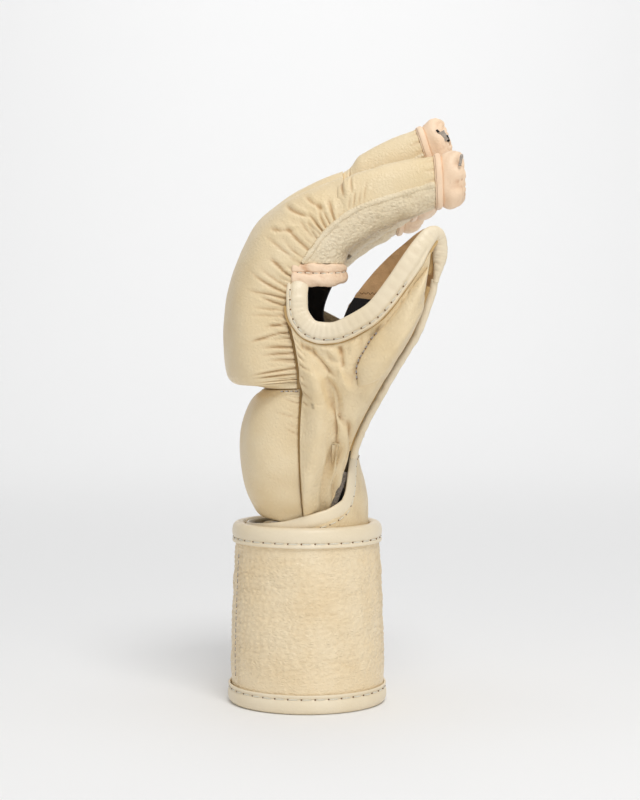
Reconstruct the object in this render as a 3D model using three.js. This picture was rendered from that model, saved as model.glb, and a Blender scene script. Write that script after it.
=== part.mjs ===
// A left-hand mixed martial arts sparring glove, standing on its wrist cuff.
//
// +Z is up the hand, from the cuff to the fingertips. +X is the palm side, -X the back of the hand,
// -Y the thumb side and +Y the little finger's side. Lengths are in millimetres. The glove is drawn
// round the cuff's axis and moved at the end, so that the origin is under the middle of its box.
//
// The cuff is a padded strap with a rolled leather binding on both rims. Inside it lie the strap's first
// turn, which climbs to the heel of the palm, the strap's end with its hook tape, and the wrist lining.
// Two foam pads cover the back of the hand. The thumb lies in a pocket of two walls, open to the fingers,
// and each finger has a padded back, a leather sleeve and a soft rolled hem.
import * as THREE from "three";

// Gap between two pieces that touch.
const fit = 0.3;

// The cuff.
const cuffHeight = 88;
const cuffRadius = 37.6;
const cuffWall = 3;
const bindingHeight = 9.4;
const bindingLeather = 0.9;
const bindingFoot = 1.6;

// The strap's first turn, its hook tape and the lining inside it.
const strapWall = 1.8;
const strapInset = 8;
const strapClimb = 37;
const strapLean = 5;
const strapSpread = 6;
const strapRoll = 2.2;
const tapeThickness = 1;
const liningWall = 1.3;
const liningTail = 24;
const liningRise = 34;
const liningHalfDepth = 14;
const liningHalfWidth = 20;

// The hand: heights from rim to crease to finger split, depth to the knuckles and half its width.
const wristRise = 66;
const knuckleRise = 106;
const handDepth = 40;
const handHalfWidth = 42;
const panelWall = 2.2;
const palmBulge = 14;
const palmDip = 6;
const padEdge = 3.2;
const padSideBulge = 5;
const pleatDepth = 1.5;
const pleatCount = 5;
const ulnarDrop = 9;

// The thumb pocket.
const thumbReach = 64;
const thumbHeight = 72;
const thumbDepth = 48;
const thumbWall = 2;
const thumbPadThickness = 4.5;
const thumbBulge = 4.5;
const openingRollWidth = 10;
const openingRollThickness = 5.2;
const pipingWidth = 3.6;

// The fingers.
const fingerLength = 42;
const fingerHeight = 36;
const fingerHalfWidth = 10.2;
const fingerPadThickness = 6.5;
const sleeveWall = 1.8;
const hemWidth = 14;
const baseHemWidth = 8.5;
const hemThickness = 4;

// The cuff's outside from its lower to its upper rim, as shares of its radius.
const cuffRows = [{ radius: 0.985 }, { radius: 1 }, { radius: 0.985 }, { radius: 0.958 }, { radius: 0.92 }];

// The strap's top edge round the wrist. Turns are in degrees, 0 on the thumb side and 90 on the palm side,
// and the rise is a share of the strap's climb above the rim.
const strapRows = [
  { turn: -150, rise: -0.08 },
  { turn: -60, rise: -0.05 },
  { turn: -20, rise: 0.01 },
  { turn: 7, rise: 0.11 },
  { turn: 22, rise: 0.17 },
  { turn: 34, rise: 0.25 },
  { turn: 43, rise: 0.36 },
  { turn: 58, rise: 0.74 },
  { turn: 70, rise: 0.97 },
  { turn: 100, rise: 1.0 },
  { turn: 172, rise: 1.0 },
];

// The back of the hand up to the crease: height as a share of the wrist's rise, depths of the crest and of
// the side seams as shares of the hand's depth, half width as a share of the hand's, and the hollow share.
const backhandRows = [
  { rise: -0.01, lift: 0.055, crest: 0.42, seam: 0.02, width: 0.6, hollow: 0.72 },
  { rise: 0.01, lift: 0.05, crest: 0.58, seam: 0.03, width: 0.61, hollow: 0.6 },
  { rise: 0.09, lift: 0.035, crest: 0.665, seam: 0.05, width: 0.64, hollow: 0.52 },
  { rise: 0.22, lift: 0.01, crest: 0.74, seam: 0.07, width: 0.76, hollow: 0.48 },
  { rise: 0.4, lift: 0, crest: 0.8, seam: 0.09, width: 0.86, hollow: 0.46 },
  { rise: 0.57, lift: 0, crest: 0.82, seam: 0.1, width: 0.9, hollow: 0.46 },
  { rise: 0.72, lift: 0, crest: 0.79, seam: 0.1, width: 0.93, hollow: 0.48 },
  { rise: 0.86, lift: -0.01, crest: 0.725, seam: 0.09, width: 0.945, hollow: 0.52 },
  { rise: 0.95, lift: -0.02, crest: 0.63, seam: 0.08, width: 0.95, hollow: 0.6 },
  { rise: 0.985, lift: -0.015, crest: 0.52, seam: 0.075, width: 0.95, hollow: 0.7 },
];

// The knuckle pad from the crease to the finger split: crest and side seams as shares of the hand's depth
// towards the palm and of the knuckles' rise.
const knuckleRows = [
  { crestX: -0.5, crestZ: 0.005, seamX: -0.11, seamZ: 0.012, width: 0.97, hollow: 0.72 },
  { crestX: -0.81, crestZ: 0.008, seamX: -0.11, seamZ: 0.02, width: 0.98, hollow: 0.5 },
  { crestX: -0.945, crestZ: 0.035, seamX: -0.112, seamZ: 0.04, width: 0.985, hollow: 0.43 },
  { crestX: -1.0, crestZ: 0.1, seamX: -0.12, seamZ: 0.09, width: 1.0, hollow: 0.4 },
  { crestX: -1.015, crestZ: 0.21, seamX: -0.165, seamZ: 0.19, width: 1.0, hollow: 0.4 },
  { crestX: -1.0, crestZ: 0.32, seamX: -0.22, seamZ: 0.28, width: 1.0, hollow: 0.4 },
  { crestX: -0.965, crestZ: 0.43, seamX: -0.235, seamZ: 0.38, width: 1.0, hollow: 0.42 },
  { crestX: -0.86, crestZ: 0.56, seamX: -0.165, seamZ: 0.475, width: 1.0, hollow: 0.44 },
  { crestX: -0.66, crestZ: 0.72, seamX: -0.04, seamZ: 0.57, width: 1.0, hollow: 0.47 },
  { crestX: -0.35, crestZ: 0.83, seamX: 0.125, seamZ: 0.655, width: 1.0, hollow: 0.5 },
  { crestX: -0.05, crestZ: 0.905, seamX: 0.26, seamZ: 0.71, width: 1.0, hollow: 0.54 },
  { crestX: 0.43, crestZ: 0.98, seamX: 0.43, seamZ: 0.755, width: 1.0, hollow: 0.6 },
];

// The thumb opening's rolled edge, from under the first finger round to the thumb's tip and down its back:
// shares of the thumb's reach, of its height above the crease and of its depth. Size thins the roll.
const openingPath = [
  { x: -0.068, z: 0.675, y: 0.91, size: 1 },
  { x: -0.07, z: 0.58, y: 0.92, size: 1 },
  { x: -0.058, z: 0.48, y: 0.94, size: 1 },
  { x: 0.01, z: 0.395, y: 0.96, size: 1 },
  { x: 0.1, z: 0.365, y: 0.98, size: 1 },
  { x: 0.22, z: 0.37, y: 1.0, size: 1 },
  { x: 0.36, z: 0.425, y: 1.03, size: 1 },
  { x: 0.5, z: 0.51, y: 1.05, size: 1 },
  { x: 0.64, z: 0.665, y: 1.05, size: 1 },
  { x: 0.76, z: 0.82, y: 1.02, size: 1 },
  { x: 0.86, z: 0.955, y: 0.95, size: 0.85 },
  { x: 0.93, z: 1.005, y: 0.89, size: 0.68 },
  { x: 0.97, z: 0.95, y: 0.84, size: 0.66 },
  { x: 0.968, z: 0.83, y: 0.81, size: 0.7 },
  { x: 0.94, z: 0.69, y: 0.79, size: 0.7 },
];

// The thumb's back edge and the wrist slit's edge, from the rolled edge's end down into the cuff.
const backPath = [
  { x: 0.93, z: 0.65, y: 0.785 },
  { x: 0.895, z: 0.56, y: 0.77 },
  { x: 0.81, z: 0.355, y: 0.75 },
  { x: 0.645, z: 0.11, y: 0.71 },
  { x: 0.47, z: -0.17, y: 0.67 },
  { x: 0.375, z: -0.36, y: 0.58 },
  { x: 0.34, z: -0.49, y: 0.49 },
  { x: 0.29, z: -0.62, y: 0.44 },
  { x: 0.225, z: -0.77, y: 0.44 },
  { x: 0.16, z: -0.95, y: 0.46 },
];
const pipedShare = 0.64;

// The thumb's far wall from the palm up to the tip: its free edge.
const farWallRows = [
  { x: 0.2, z: 0.2, y: 0.54 },
  { x: 0.25, z: 0.4, y: 0.52 },
  { x: 0.32, z: 0.55, y: 0.51 },
  { x: 0.43, z: 0.69, y: 0.5 },
  { x: 0.57, z: 0.83, y: 0.51 },
  { x: 0.71, z: 0.94, y: 0.56 },
  { x: 0.84, z: 1.03, y: 0.66 },
  { x: 0.92, z: 1.05, y: 0.76 },
];

// Soft folds of the thumb-side panel: from one end to the other as shares of the thumb's reach and of its
// height above the crease, with height and half width in millimetres.
const panelFolds = [
  { x1: -0.02, z1: 0.18, x2: 0.2, z2: -0.2, height: 1.5, spread: 3 },
  { x1: 0.2, z1: -0.15, x2: 0.24, z2: -0.55, height: 1.8, spread: 3 },
  { x1: 0.1, z1: -0.02, x2: 0.12, z2: -0.6, height: -1.3, spread: 3.5 },
  { x1: 0.12, z1: 0.26, x2: 0.3, z2: 0.05, height: -1.2, spread: 3 },
];

// The padded panel over the thumb's bone, as its place on the side panel: rows up the thumb with the
// share across where it starts and ends.
const padRows = [
  { up: 0.5, from: 0.66, to: 0.74 },
  { up: 0.56, from: 0.6, to: 0.84 },
  { up: 0.66, from: 0.56, to: 0.88 },
  { up: 0.76, from: 0.58, to: 0.88 },
  { up: 0.86, from: 0.66, to: 0.88 },
  { up: 0.93, from: 0.76, to: 0.88 },
];

// One finger, as shares of its length along and of its height up: crest, side seam and palm side. The
// sleeve starts before the split, so along is negative there. Width is a share of the half width.
const fingerRows = [
  { crestX: -0.5, crestZ: 0.02, seamX: -0.46, seamZ: -0.6, lowX: 0.02, lowZ: -0.6, width: 0.93 },
  { crestX: -0.37, crestZ: 0.17, seamX: -0.33, seamZ: -0.42, lowX: 0.07, lowZ: -0.46, width: 0.96 },
  { crestX: -0.24, crestZ: 0.3, seamX: -0.22, seamZ: -0.25, lowX: 0.15, lowZ: -0.36, width: 0.98 },
  { crestX: 0.03, crestZ: 0.5, seamX: 0.03, seamZ: 0.01, lowX: 0.37, lowZ: -0.2, width: 1.0 },
  { crestX: 0.25, crestZ: 0.61, seamX: 0.27, seamZ: 0.15, lowX: 0.58, lowZ: -0.09, width: 1.0 },
  { crestX: 0.62, crestZ: 0.725, seamX: 0.64, seamZ: 0.29, lowX: 0.82, lowZ: 0.01, width: 0.98 },
  { crestX: 1.0, crestZ: 0.79, seamX: 1.02, seamZ: 0.41, lowX: 1.03, lowZ: 0.12, width: 0.96 },
];
const splitRow = 3;

// The four fingers: place across the hand as a share of its half width, shift of the whole finger, turn up
// from the first finger's line in degrees, length as a share, and the row where the sleeve starts.
const fingers = [
  { name: "index", across: -0.765, shiftZ: 0, lift: 0, length: 1, firstRow: 0 },
  { name: "middle", across: -0.26, shiftZ: 5, lift: 14, length: 1.02, firstRow: splitRow - 1 },
  { name: "ring", across: 0.245, shiftZ: -3, lift: 3, length: 0.8, firstRow: splitRow - 1 },
  { name: "little", across: 0.75, shiftZ: -2, lift: 2, length: 0.7, firstRow: 1 },
];

const rimZ = cuffHeight;
const creaseZ = cuffHeight + wristRise;
const splitX = 0.42 * handDepth;
const splitZ = creaseZ + 0.755 * knuckleRise;

const leather = { color: 0xe9d6ad, roughness: 0.55, metalness: 0 };
const rolledLeather = { color: 0xe6dcc0, roughness: 0.5, metalness: 0 };
const hemLeather = { color: 0xf0d2b2, roughness: 0.6, metalness: 0 };
const greyTape = { color: 0xb9aea2, roughness: 0.95, metalness: 0 };
const blackLining = { color: 0x1b1a1c, roughness: 0.9, metalness: 0 };
const suede = { color: 0xb68f5c, roughness: 0.95, metalness: 0 };

const vec = (x, y, z) => new THREE.Vector3(x, y, z);
const clamp01 = (t) => Math.min(1, Math.max(0, t));
const smooth = (a, b, t) => {
  const s = clamp01((t - a) / (b - a));
  return s * s * (3 - 2 * s);
};
const mix = THREE.MathUtils.lerp;
const signedPower = (value, power) => Math.sign(value) * Math.abs(value) ** power;

// A table's columns at t, from 0 on its first row to 1 on its last, on a smooth curve through its rows.
function rowAt(rows, t) {
  const place = clamp01(t) * (rows.length - 1);
  const i = Math.min(rows.length - 2, Math.floor(place));
  const f = place - i;
  const mixed = {};
  for (const key of Object.keys(rows[i])) {
    const p1 = rows[i][key];
    const p2 = rows[i + 1][key];
    const p0 = i > 0 ? rows[i - 1][key] : 2 * p1 - p2;
    const p3 = i + 2 < rows.length ? rows[i + 2][key] : 2 * p2 - p1;
    const bend = 2 * p0 - 5 * p1 + 4 * p2 - p3;
    mixed[key] = 0.5 * (2 * p1 + (p2 - p0) * f + bend * f * f + (3 * (p1 - p2) + p3 - p0) * f ** 3);
  }
  return mixed;
}

// A table's columns where one of its columns, which rises from row to row, has the given value.
function rowWhere(rows, key, value) {
  let i = 0;
  while (i < rows.length - 2 && rows[i + 1][key] < value) i += 1;
  const f = clamp01((value - rows[i][key]) / (rows[i + 1][key] - rows[i][key]));
  return rowAt(rows, (i + f) / (rows.length - 1));
}

// Turns a closed mesh's faces round if they point inwards.
function facingOut(positions, faces) {
  const p = (k) => vec(positions[3 * k], positions[3 * k + 1], positions[3 * k + 2]);
  let volume = 0;
  for (let k = 0; k < faces.length; k += 3)
    volume += p(faces[k]).dot(p(faces[k + 1]).cross(p(faces[k + 2])));
  if (volume < 0) faces.reverse();
  const geometry = new THREE.BufferGeometry();
  geometry.setAttribute("position", new THREE.Float32BufferAttribute(positions, 3));
  geometry.setIndex(faces);
  return geometry;
}

// A mesh between an outer and an inner skin, each a function of u and v from 0 to 1. It is closed round u
// where ring is true, and by its rims elsewhere.
function wall(outer, inner, stepsU, stepsV, ring = false) {
  const positions = [];
  const faces = [];
  const across = ring ? stepsU : stepsU + 1;
  const at = (skin, i, j) => skin * across * (stepsV + 1) + j * across + (ring ? i % stepsU : i);
  for (const skin of [outer, inner])
    for (let j = 0; j <= stepsV; j++)
      for (let i = 0; i < across; i++) {
        const p = skin(i / stepsU, j / stepsV);
        positions.push(p.x, p.y, p.z);
      }
  const quad = (a, b, c, d) => faces.push(a, b, c, a, c, d);
  for (let j = 0; j < stepsV; j++)
    for (let i = 0; i < stepsU; i++) {
      quad(at(0, i, j), at(0, i + 1, j), at(0, i + 1, j + 1), at(0, i, j + 1));
      quad(at(1, i, j), at(1, i, j + 1), at(1, i + 1, j + 1), at(1, i + 1, j));
    }
  for (let i = 0; i < stepsU; i++) {
    quad(at(0, i, 0), at(1, i, 0), at(1, i + 1, 0), at(0, i + 1, 0));
    quad(at(0, i, stepsV), at(0, i + 1, stepsV), at(1, i + 1, stepsV), at(1, i, stepsV));
  }
  if (!ring)
    for (let j = 0; j < stepsV; j++) {
      quad(at(0, 0, j), at(0, 0, j + 1), at(1, 0, j + 1), at(1, 0, j));
      quad(at(0, stepsU, j), at(1, stepsU, j), at(1, stepsU, j + 1), at(0, stepsU, j + 1));
    }
  return facingOut(positions, faces);
}

// A skin moved along its own normal, which is measured with small steps of u and v.
function offsetSkin(skin, distance) {
  const step = 0.004;
  return (u, v) => {
    const alongU = skin(Math.min(1, u + step), v).sub(skin(Math.max(0, u - step), v));
    const alongV = skin(u, Math.min(1, v + step)).sub(skin(u, Math.max(0, v - step)));
    return skin(u, v).add(alongU.cross(alongV).normalize().multiplyScalar(distance));
  };
}

// A bead swept along a path: an oval with the given width in the path's face and thickness across it.
// outward says which way the face looks at each share of the path, and size thins the bead.
function roll(path, outward, width, thickness, steps, sides, size = () => 1) {
  const positions = [];
  const faces = [];
  for (let j = 0; j <= steps; j++) {
    const v = j / steps;
    const along = path(Math.min(1, v + 0.004)).sub(path(Math.max(0, v - 0.004))).normalize();
    const out = outward(v);
    out.addScaledVector(along, -out.dot(along)).normalize();
    const side = along.clone().cross(out);
    for (let i = 0; i < sides; i++) {
      const angle = (2 * Math.PI * i) / sides;
      const p = path(v)
        .addScaledVector(side, (width / 2) * size(v) * Math.cos(angle))
        .addScaledVector(out, (thickness / 2) * Math.sin(angle));
      positions.push(p.x, p.y, p.z);
    }
  }
  const at = (i, j) => j * sides + (i % sides);
  for (let j = 0; j < steps; j++)
    for (let i = 0; i < sides; i++)
      faces.push(at(i, j), at(i + 1, j), at(i + 1, j + 1), at(i, j), at(i + 1, j + 1), at(i, j + 1));
  for (let i = 1; i < sides - 1; i++) {
    faces.push(at(0, 0), at(i + 1, 0), at(i, 0));
    faces.push(at(0, steps), at(i, steps), at(i + 1, steps));
  }
  return facingOut(positions, faces);
}

// Bends a curve so that it starts and ends at the given points.
const pinned = (curve, start, end) => (t) =>
  curve(t)
    .add(start.clone().sub(curve(0)).multiplyScalar(1 - t))
    .add(end.clone().sub(curve(1)).multiplyScalar(t));

// A patch stretched between four edges that share their corners: bottom and top run along u, left and
// right along v.
function patch(bottom, top, left, right) {
  const corners = [bottom(0), bottom(1), top(0), top(1)];
  return (u, v) => {
    const p = bottom(u).multiplyScalar(1 - v).addScaledVector(top(u), v);
    p.addScaledVector(left(v), 1 - u).addScaledVector(right(v), u);
    p.addScaledVector(corners[0], -(1 - u) * (1 - v)).addScaledVector(corners[1], -u * (1 - v));
    return p.addScaledVector(corners[2], -(1 - u) * v).addScaledVector(corners[3], -u * v);
  };
}

// The little finger's side of the hand sits lower than the first finger's.
function sloped(p) {
  const share = smooth(0, handHalfWidth, p.y) * smooth(creaseZ, splitZ, p.z);
  return vec(p.x - 0.3 * ulnarDrop * share, p.y, p.z - ulnarDrop * share);
}

// A point round the cuff's axis. Turn 0 faces the thumb side and 90 degrees the palm.
function around(radius, turn, z) {
  const angle = THREE.MathUtils.degToRad(turn);
  return vec(radius * Math.sin(angle), -radius * Math.cos(angle), z);
}

const glove = new THREE.Group();
function add(name, look, geometry) {
  const mesh = new THREE.Mesh(geometry, new THREE.MeshStandardMaterial(look));
  mesh.name = name;
  glove.add(mesh);
}

// The cuff's wall and its two bindings, which fold over its rims.
const cuffSteps = 30;
const cuffOut = (z) => cuffRadius * rowAt(cuffRows, z / cuffHeight).radius;
const cuffIn = (z) => cuffOut(z) - cuffWall;
const wallBottom = bindingLeather + bindingFoot + fit;
const wallTop = cuffHeight - bindingLeather - fit;
const cuffSkin = (radius) => (u, v) => {
  const z = mix(wallBottom, wallTop, v);
  return around(radius(z), 360 * u, z);
};
add("cuff_wall", leather, wall(cuffSkin(cuffOut), cuffSkin(cuffIn), cuffSteps, 4, true));

// A binding's section is a channel over the rim. Rows hold the side of the wall, the distance from it and
// the height from the rim.
function cuffBinding(rim, direction, foot) {
  const out = fit + bindingLeather;
  const round = 1.4;
  const profile = [
    { side: 1, away: fit, height: bindingHeight },
    { side: 1, away: out, height: bindingHeight },
    { side: 1, away: out, height: round },
    { side: 1, away: out - round, height: 0 },
    { side: -1, away: out - round, height: 0 },
    { side: -1, away: out, height: round },
    { side: -1, away: out, height: bindingHeight },
    { side: -1, away: fit, height: bindingHeight },
    { side: -1, away: fit, height: bindingLeather + foot },
    { side: 1, away: fit, height: bindingLeather + foot },
  ];
  const positions = [];
  const faces = [];
  const n = profile.length;
  for (let k = 0; k < cuffSteps; k++)
    for (const p of profile) {
      const z = rim + direction * p.height;
      const base = p.side > 0 ? cuffOut(z) : cuffIn(z);
      const q = around(base + p.side * p.away, (360 * k) / cuffSteps, z);
      positions.push(q.x, q.y, q.z);
    }
  for (let k = 0; k < cuffSteps; k++)
    for (let i = 0; i < n; i++) {
      const next = (k + 1) % cuffSteps;
      const a = k * n + i;
      const b = k * n + ((i + 1) % n);
      const c = next * n + ((i + 1) % n);
      const d = next * n + i;
      faces.push(a, b, c, a, c, d);
    }
  return facingOut(positions, faces);
}
add("cuff_top_binding", rolledLeather, cuffBinding(cuffHeight, -1, 0));
add("cuff_bottom_binding", rolledLeather, cuffBinding(0, 1, bindingFoot));

// The strap's first turn lies inside the cuff and climbs to the heel of the palm.
const strapOuter = cuffIn(cuffHeight) - fit - bindingLeather - fit - 0.2;
const strapInner = strapOuter - strapWall;
const strapStart = -150;
const strapEnd = 172;
const strapTop = (turn) => rimZ + strapClimb * rowWhere(strapRows, "turn", turn).rise;
const strapTurn = (u) => mix(strapStart, strapEnd, u);

// Above the rim the strap flattens towards the hand's oval section.
function strapPoint(radius, turn, z) {
  const share = smooth(rimZ + 8, rimZ + strapClimb, z);
  const p = around(radius, turn, z);
  p.x *= 1 - (share * strapLean) / strapOuter;
  p.y *= 1 + (share * strapSpread) / strapOuter;
  return p;
}
const strapSkin = (radius) => (u, v) => {
  const turn = strapTurn(u);
  const slope = (strapTop(turn + 2) - strapTop(turn - 2)) / (4 * THREE.MathUtils.DEG2RAD * radius);
  const bottom = strapInset + 14 * smooth(-60, 90, turn);
  const z = mix(bottom, strapTop(turn) - (strapRoll + fit + 0.3) * Math.hypot(1, slope), v);
  return strapPoint(radius, turn, z);
};
add("strap_wrap", leather, wall(strapSkin(strapOuter), strapSkin(strapInner), 46, 4));
const strapEdge = (v) => {
  const turn = strapTurn(v);
  return strapPoint((strapOuter + strapInner) / 2, turn, strapTop(turn));
};
add(
  "strap_binding",
  rolledLeather,
  roll(strapEdge, (v) => around(1, strapTurn(v), 0), 2 * strapRoll, strapWall, 46, 5),
);

// The strap's rounded end and the hook tape on it, both just inside the first turn.
const hookFrom = -62;
const hookTo = -18;
const hookTop = 2.2;
const hookSkin = (radius, from, to) => (u, v) => {
  const round = 7 * (1 - Math.sin(Math.PI * clamp01(u)) ** 0.5);
  return around(radius, mix(from, to, u), mix(rimZ - 24, rimZ + hookTop - round, v));
};
const tapeRadius = strapInner - fit;
const endRadius = tapeRadius - tapeThickness - fit;
const tapeFrom = hookFrom + 12;
add(
  "hook_tape",
  greyTape,
  wall(hookSkin(tapeRadius, tapeFrom, hookTo), hookSkin(tapeRadius - tapeThickness, tapeFrom, hookTo), 10, 2),
);
add(
  "strap_end",
  leather,
  wall(hookSkin(endRadius, hookFrom, hookTo), hookSkin(endRadius - strapWall, hookFrom, hookTo), 10, 2),
);

// Wrist lining: an oval sleeve inside the pads that goes down into the cuff.
const liningCentre = 4;
const wristSkin = (depth) => (u, v) => {
  const angle = 2 * Math.PI * u;
  const x = liningCentre + (liningHalfDepth - depth) * Math.cos(angle);
  const z = rimZ - liningTail + v * (liningTail + liningRise);
  return vec(x, (liningHalfWidth - depth) * Math.sin(angle), z);
};
add("wrist_lining", blackLining, wall(wristSkin(0), wristSkin(liningWall), 24, 2, true));

// Half a cross-section from the thumb-side seam over the crest to the far seam.
function dome(row, hollow, inset, bulge) {
  const power = 0.84;
  return (u) => {
    const angle = Math.PI * u;
    const c = signedPower(Math.cos(angle), power);
    const s = signedPower(Math.sin(angle), power);
    const side = bulge * Math.sin(2 * angle) ** 2 * Math.sign(Math.cos(angle));
    const y = -(row.halfWidth - inset) * c - side;
    return vec(mix(row.seam.x, row.crest.x, s * hollow), y, mix(row.seam.z, row.crest.z, s * hollow));
  };
}

function backhandRow(v) {
  const r = rowAt(backhandRows, v);
  const z = rimZ + r.rise * wristRise;
  return {
    crest: vec(-r.crest * handDepth, 0, z + r.lift * wristRise),
    seam: vec(-r.seam * handDepth, 0, z),
    halfWidth: r.width * handHalfWidth,
    hollow: r.hollow,
  };
}
const backhandSkin = (inside) => (u, v) => {
  const row = backhandRow(v);
  if (inside) return dome(row, row.hollow, padEdge, 0)(u);
  return dome(row, 1, 0, 0.5 * padSideBulge * Math.sin(Math.PI * clamp01(v)))(u);
};
add("backhand_pad", leather, wall(backhandSkin(false), backhandSkin(true), 18, 10));

function knuckleRow(v) {
  const r = rowAt(knuckleRows, v);
  return {
    crest: vec(r.crestX * handDepth, 0, creaseZ + r.crestZ * knuckleRise),
    seam: vec(r.seamX * handDepth, 0, creaseZ + r.seamZ * knuckleRise),
    halfWidth: r.width * handHalfWidth,
    hollow: r.hollow,
  };
}

// Pleats gather the knuckle pad where it is sewn to the thumb opening and to the far side.
function pleat(u, v) {
  const nearSeam = Math.max(0, 1 - Math.min(u, 1 - u) / 0.2);
  const along = smooth(0.1, 0.25, v) * (1 - smooth(0.7, 0.85, v));
  return pleatDepth * nearSeam * along * Math.sin(2 * Math.PI * pleatCount * v) ** 2;
}

// Grooves between the fingers that deepen towards the split.
function fingerGroove(y, v) {
  const depth = 3.4 * smooth(0.78, 1, v);
  return fingers.slice(1).reduce((sum, finger, k) => {
    const between = 0.5 * (finger.across + fingers[k].across) * handHalfWidth;
    return sum + depth * Math.exp(-(((y - between) / 3.2) ** 2));
  }, 0);
}
const knuckleSkin = (inside) => (u, v) => {
  const row = knuckleRow(v);
  if (inside) return sloped(dome(row, row.hollow, padEdge, 0)(u));
  const fullness = smooth(0, 0.12, v) * (1 - smooth(0.75, 1, v));
  const p = dome(row, 1, 0, padSideBulge * fullness)(u);
  const inward = row.seam.clone().setY(p.y).sub(p);
  if (inward.length() > 1) p.addScaledVector(inward.normalize(), fingerGroove(p.y, v));
  p.y += Math.sign(0.5 - u) * pleat(u, v);
  return sloped(p);
};
add("knuckle_pad", leather, wall(knuckleSkin(false), knuckleSkin(true), 18, 4 * pleatCount));

// Black lining under the knuckle pad, which goes on past the far seam towards the palm.
const liningFold = 0.74;
const liningTuck = 7;
const handLiningSkin = (depth) => (u, v) => {
  const row = knuckleRow(mix(0.3, 0.62, v));
  const share = Math.min(1, u / liningFold);
  const away = fit + depth;
  const p = dome(row, row.hollow, padEdge + away + 1.6, 0)(share);
  p.x += away * Math.sin(Math.PI * share);
  const flap = Math.max(0, (u - liningFold) / (1 - liningFold));
  p.add(vec(0.45 * handDepth * flap, -liningTuck * flap * flap, 0));
  return sloped(p);
};
add("hand_lining", blackLining, wall(handLiningSkin(0), handLiningSkin(liningWall), 16, 4));

// The seam where both pads meet the side panels, by height.
const seamRows = [
  ...backhandRows.map((r) => ({
    x: -r.seam * handDepth,
    y: r.width * handHalfWidth,
    z: rimZ + r.rise * wristRise,
  })),
  ...knuckleRows.slice(2, 9).map((r) => ({
    x: r.seamX * handDepth,
    y: r.width * handHalfWidth,
    z: creaseZ + r.seamZ * knuckleRise,
  })),
];
function sideSeam(z, side) {
  const r = rowWhere(seamRows, "z", z);
  const p = vec(r.x + fit + 0.2, side * r.y, r.z);
  return side > 0 ? sloped(p) : p;
}

// Points of the thumb's tables in the glove's frame.
const thumbPoint = (r) => vec(r.x * thumbReach, -r.y * thumbDepth, creaseZ + r.z * thumbHeight);
const openingAt = (t) => thumbPoint(rowAt(openingPath, t));
const backAt = (t) => thumbPoint(rowAt(backPath, t));

// A path moved sideways in its own face, to the left of its direction.
const beside = (path, distance) => (t) => {
  const along = path(Math.min(1, t + 0.004)).sub(path(Math.max(0, t - 0.004)));
  return path(t).add(vec(-along.z, 0, along.x).normalize().multiplyScalar(distance(t)));
};
const towardsThumb = () => vec(0, -1, 0);
const rollSize = (t) => rowAt(openingPath, t).size;
add(
  "opening_binding",
  rolledLeather,
  roll(openingAt, towardsThumb, openingRollWidth, openingRollThickness, 36, 6, rollSize),
);
add(
  "thumb_piping",
  rolledLeather,
  roll((v) => backAt(pipedShare * v), towardsThumb, pipingWidth, pipingWidth, 16, 5),
);

// The thumb-side panel fills the space between the pads' seam, the opening's roll and the back edge.
const crotchShare = 0.168;
const tipShare = 0.69;
const rollMargin = (t) => -((openingRollWidth / 2) * rollSize(t) + fit + 0.3);
const underRoll = beside(openingAt, rollMargin);
const backMargin = (t) => -(pipingWidth / 2 + fit + 0.3 + 1.6 * (1 - smooth(0, 0.1, t)));
const innerBack = beside(backAt, backMargin);
const panelBottomZ = rimZ - 3;
const panelCorners = {
  bottomLeft: sideSeam(panelBottomZ, -1).setZ(panelBottomZ),
  topLeft: underRoll(crotchShare),
  topRight: underRoll(tipShare),
  bottomRight: innerBack(1),
};
const armShare = 0.12;
const armTipShare = 0.885;
const panelRight = (v) => {
  if (v > 1 - armShare) return underRoll(mix(1, armTipShare, (v - 1 + armShare) / armShare));
  return innerBack(1 - v / (1 - armShare));
};
const panelLeft = (v) => sideSeam(mix(panelBottomZ, panelCorners.topLeft.z, v), -1);
const panelTop = (u) => underRoll(mix(crotchShare, tipShare, u));
const panelBottom = (u) => {
  const p = panelCorners.bottomLeft.clone().lerp(panelCorners.bottomRight, u);
  return p.add(vec(0, 0.5 * Math.sin(Math.PI * u), 0));
};
const flatPanel = patch(
  panelBottom,
  pinned(panelTop, panelCorners.topLeft, panelCorners.topRight),
  pinned(panelLeft, panelCorners.bottomLeft, panelCorners.topLeft),
  pinned(panelRight, panelCorners.bottomRight, panelCorners.topRight),
);
function foldHeight(p) {
  return panelFolds.reduce((sum, f) => {
    const from = new THREE.Vector2(f.x1 * thumbReach, creaseZ + f.z1 * thumbHeight);
    const to = new THREE.Vector2(f.x2 * thumbReach, creaseZ + f.z2 * thumbHeight).sub(from);
    const here = new THREE.Vector2(p.x, p.z).sub(from);
    const share = here.dot(to) / to.lengthSq();
    const away = Math.abs(here.cross(to)) / to.length();
    const ends = smooth(-0.2, 0.2, share) * (1 - smooth(0.8, 1.2, share));
    return sum + f.height * ends * Math.exp(-((away / f.spread) ** 2));
  }, 0);
}
const sidePanelSkin = (u, v) => {
  const p = flatPanel(u, v);
  const inside = Math.sin(Math.PI * u) * Math.sin(Math.PI * v);
  const swell = thumbBulge * smooth(0.35, 0.8, v) * Math.sin(Math.PI * u);
  p.y -= swell * (1 - smooth(0.8, 1, v)) + foldHeight(p) * Math.min(1, 3 * inside);
  return p;
};
const sidePanelInner = (u, v) => sidePanelSkin(u, v).add(vec(0, panelWall, 0));
add("thumb_side_panel", leather, wall(sidePanelSkin, sidePanelInner, 16, 16));

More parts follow.
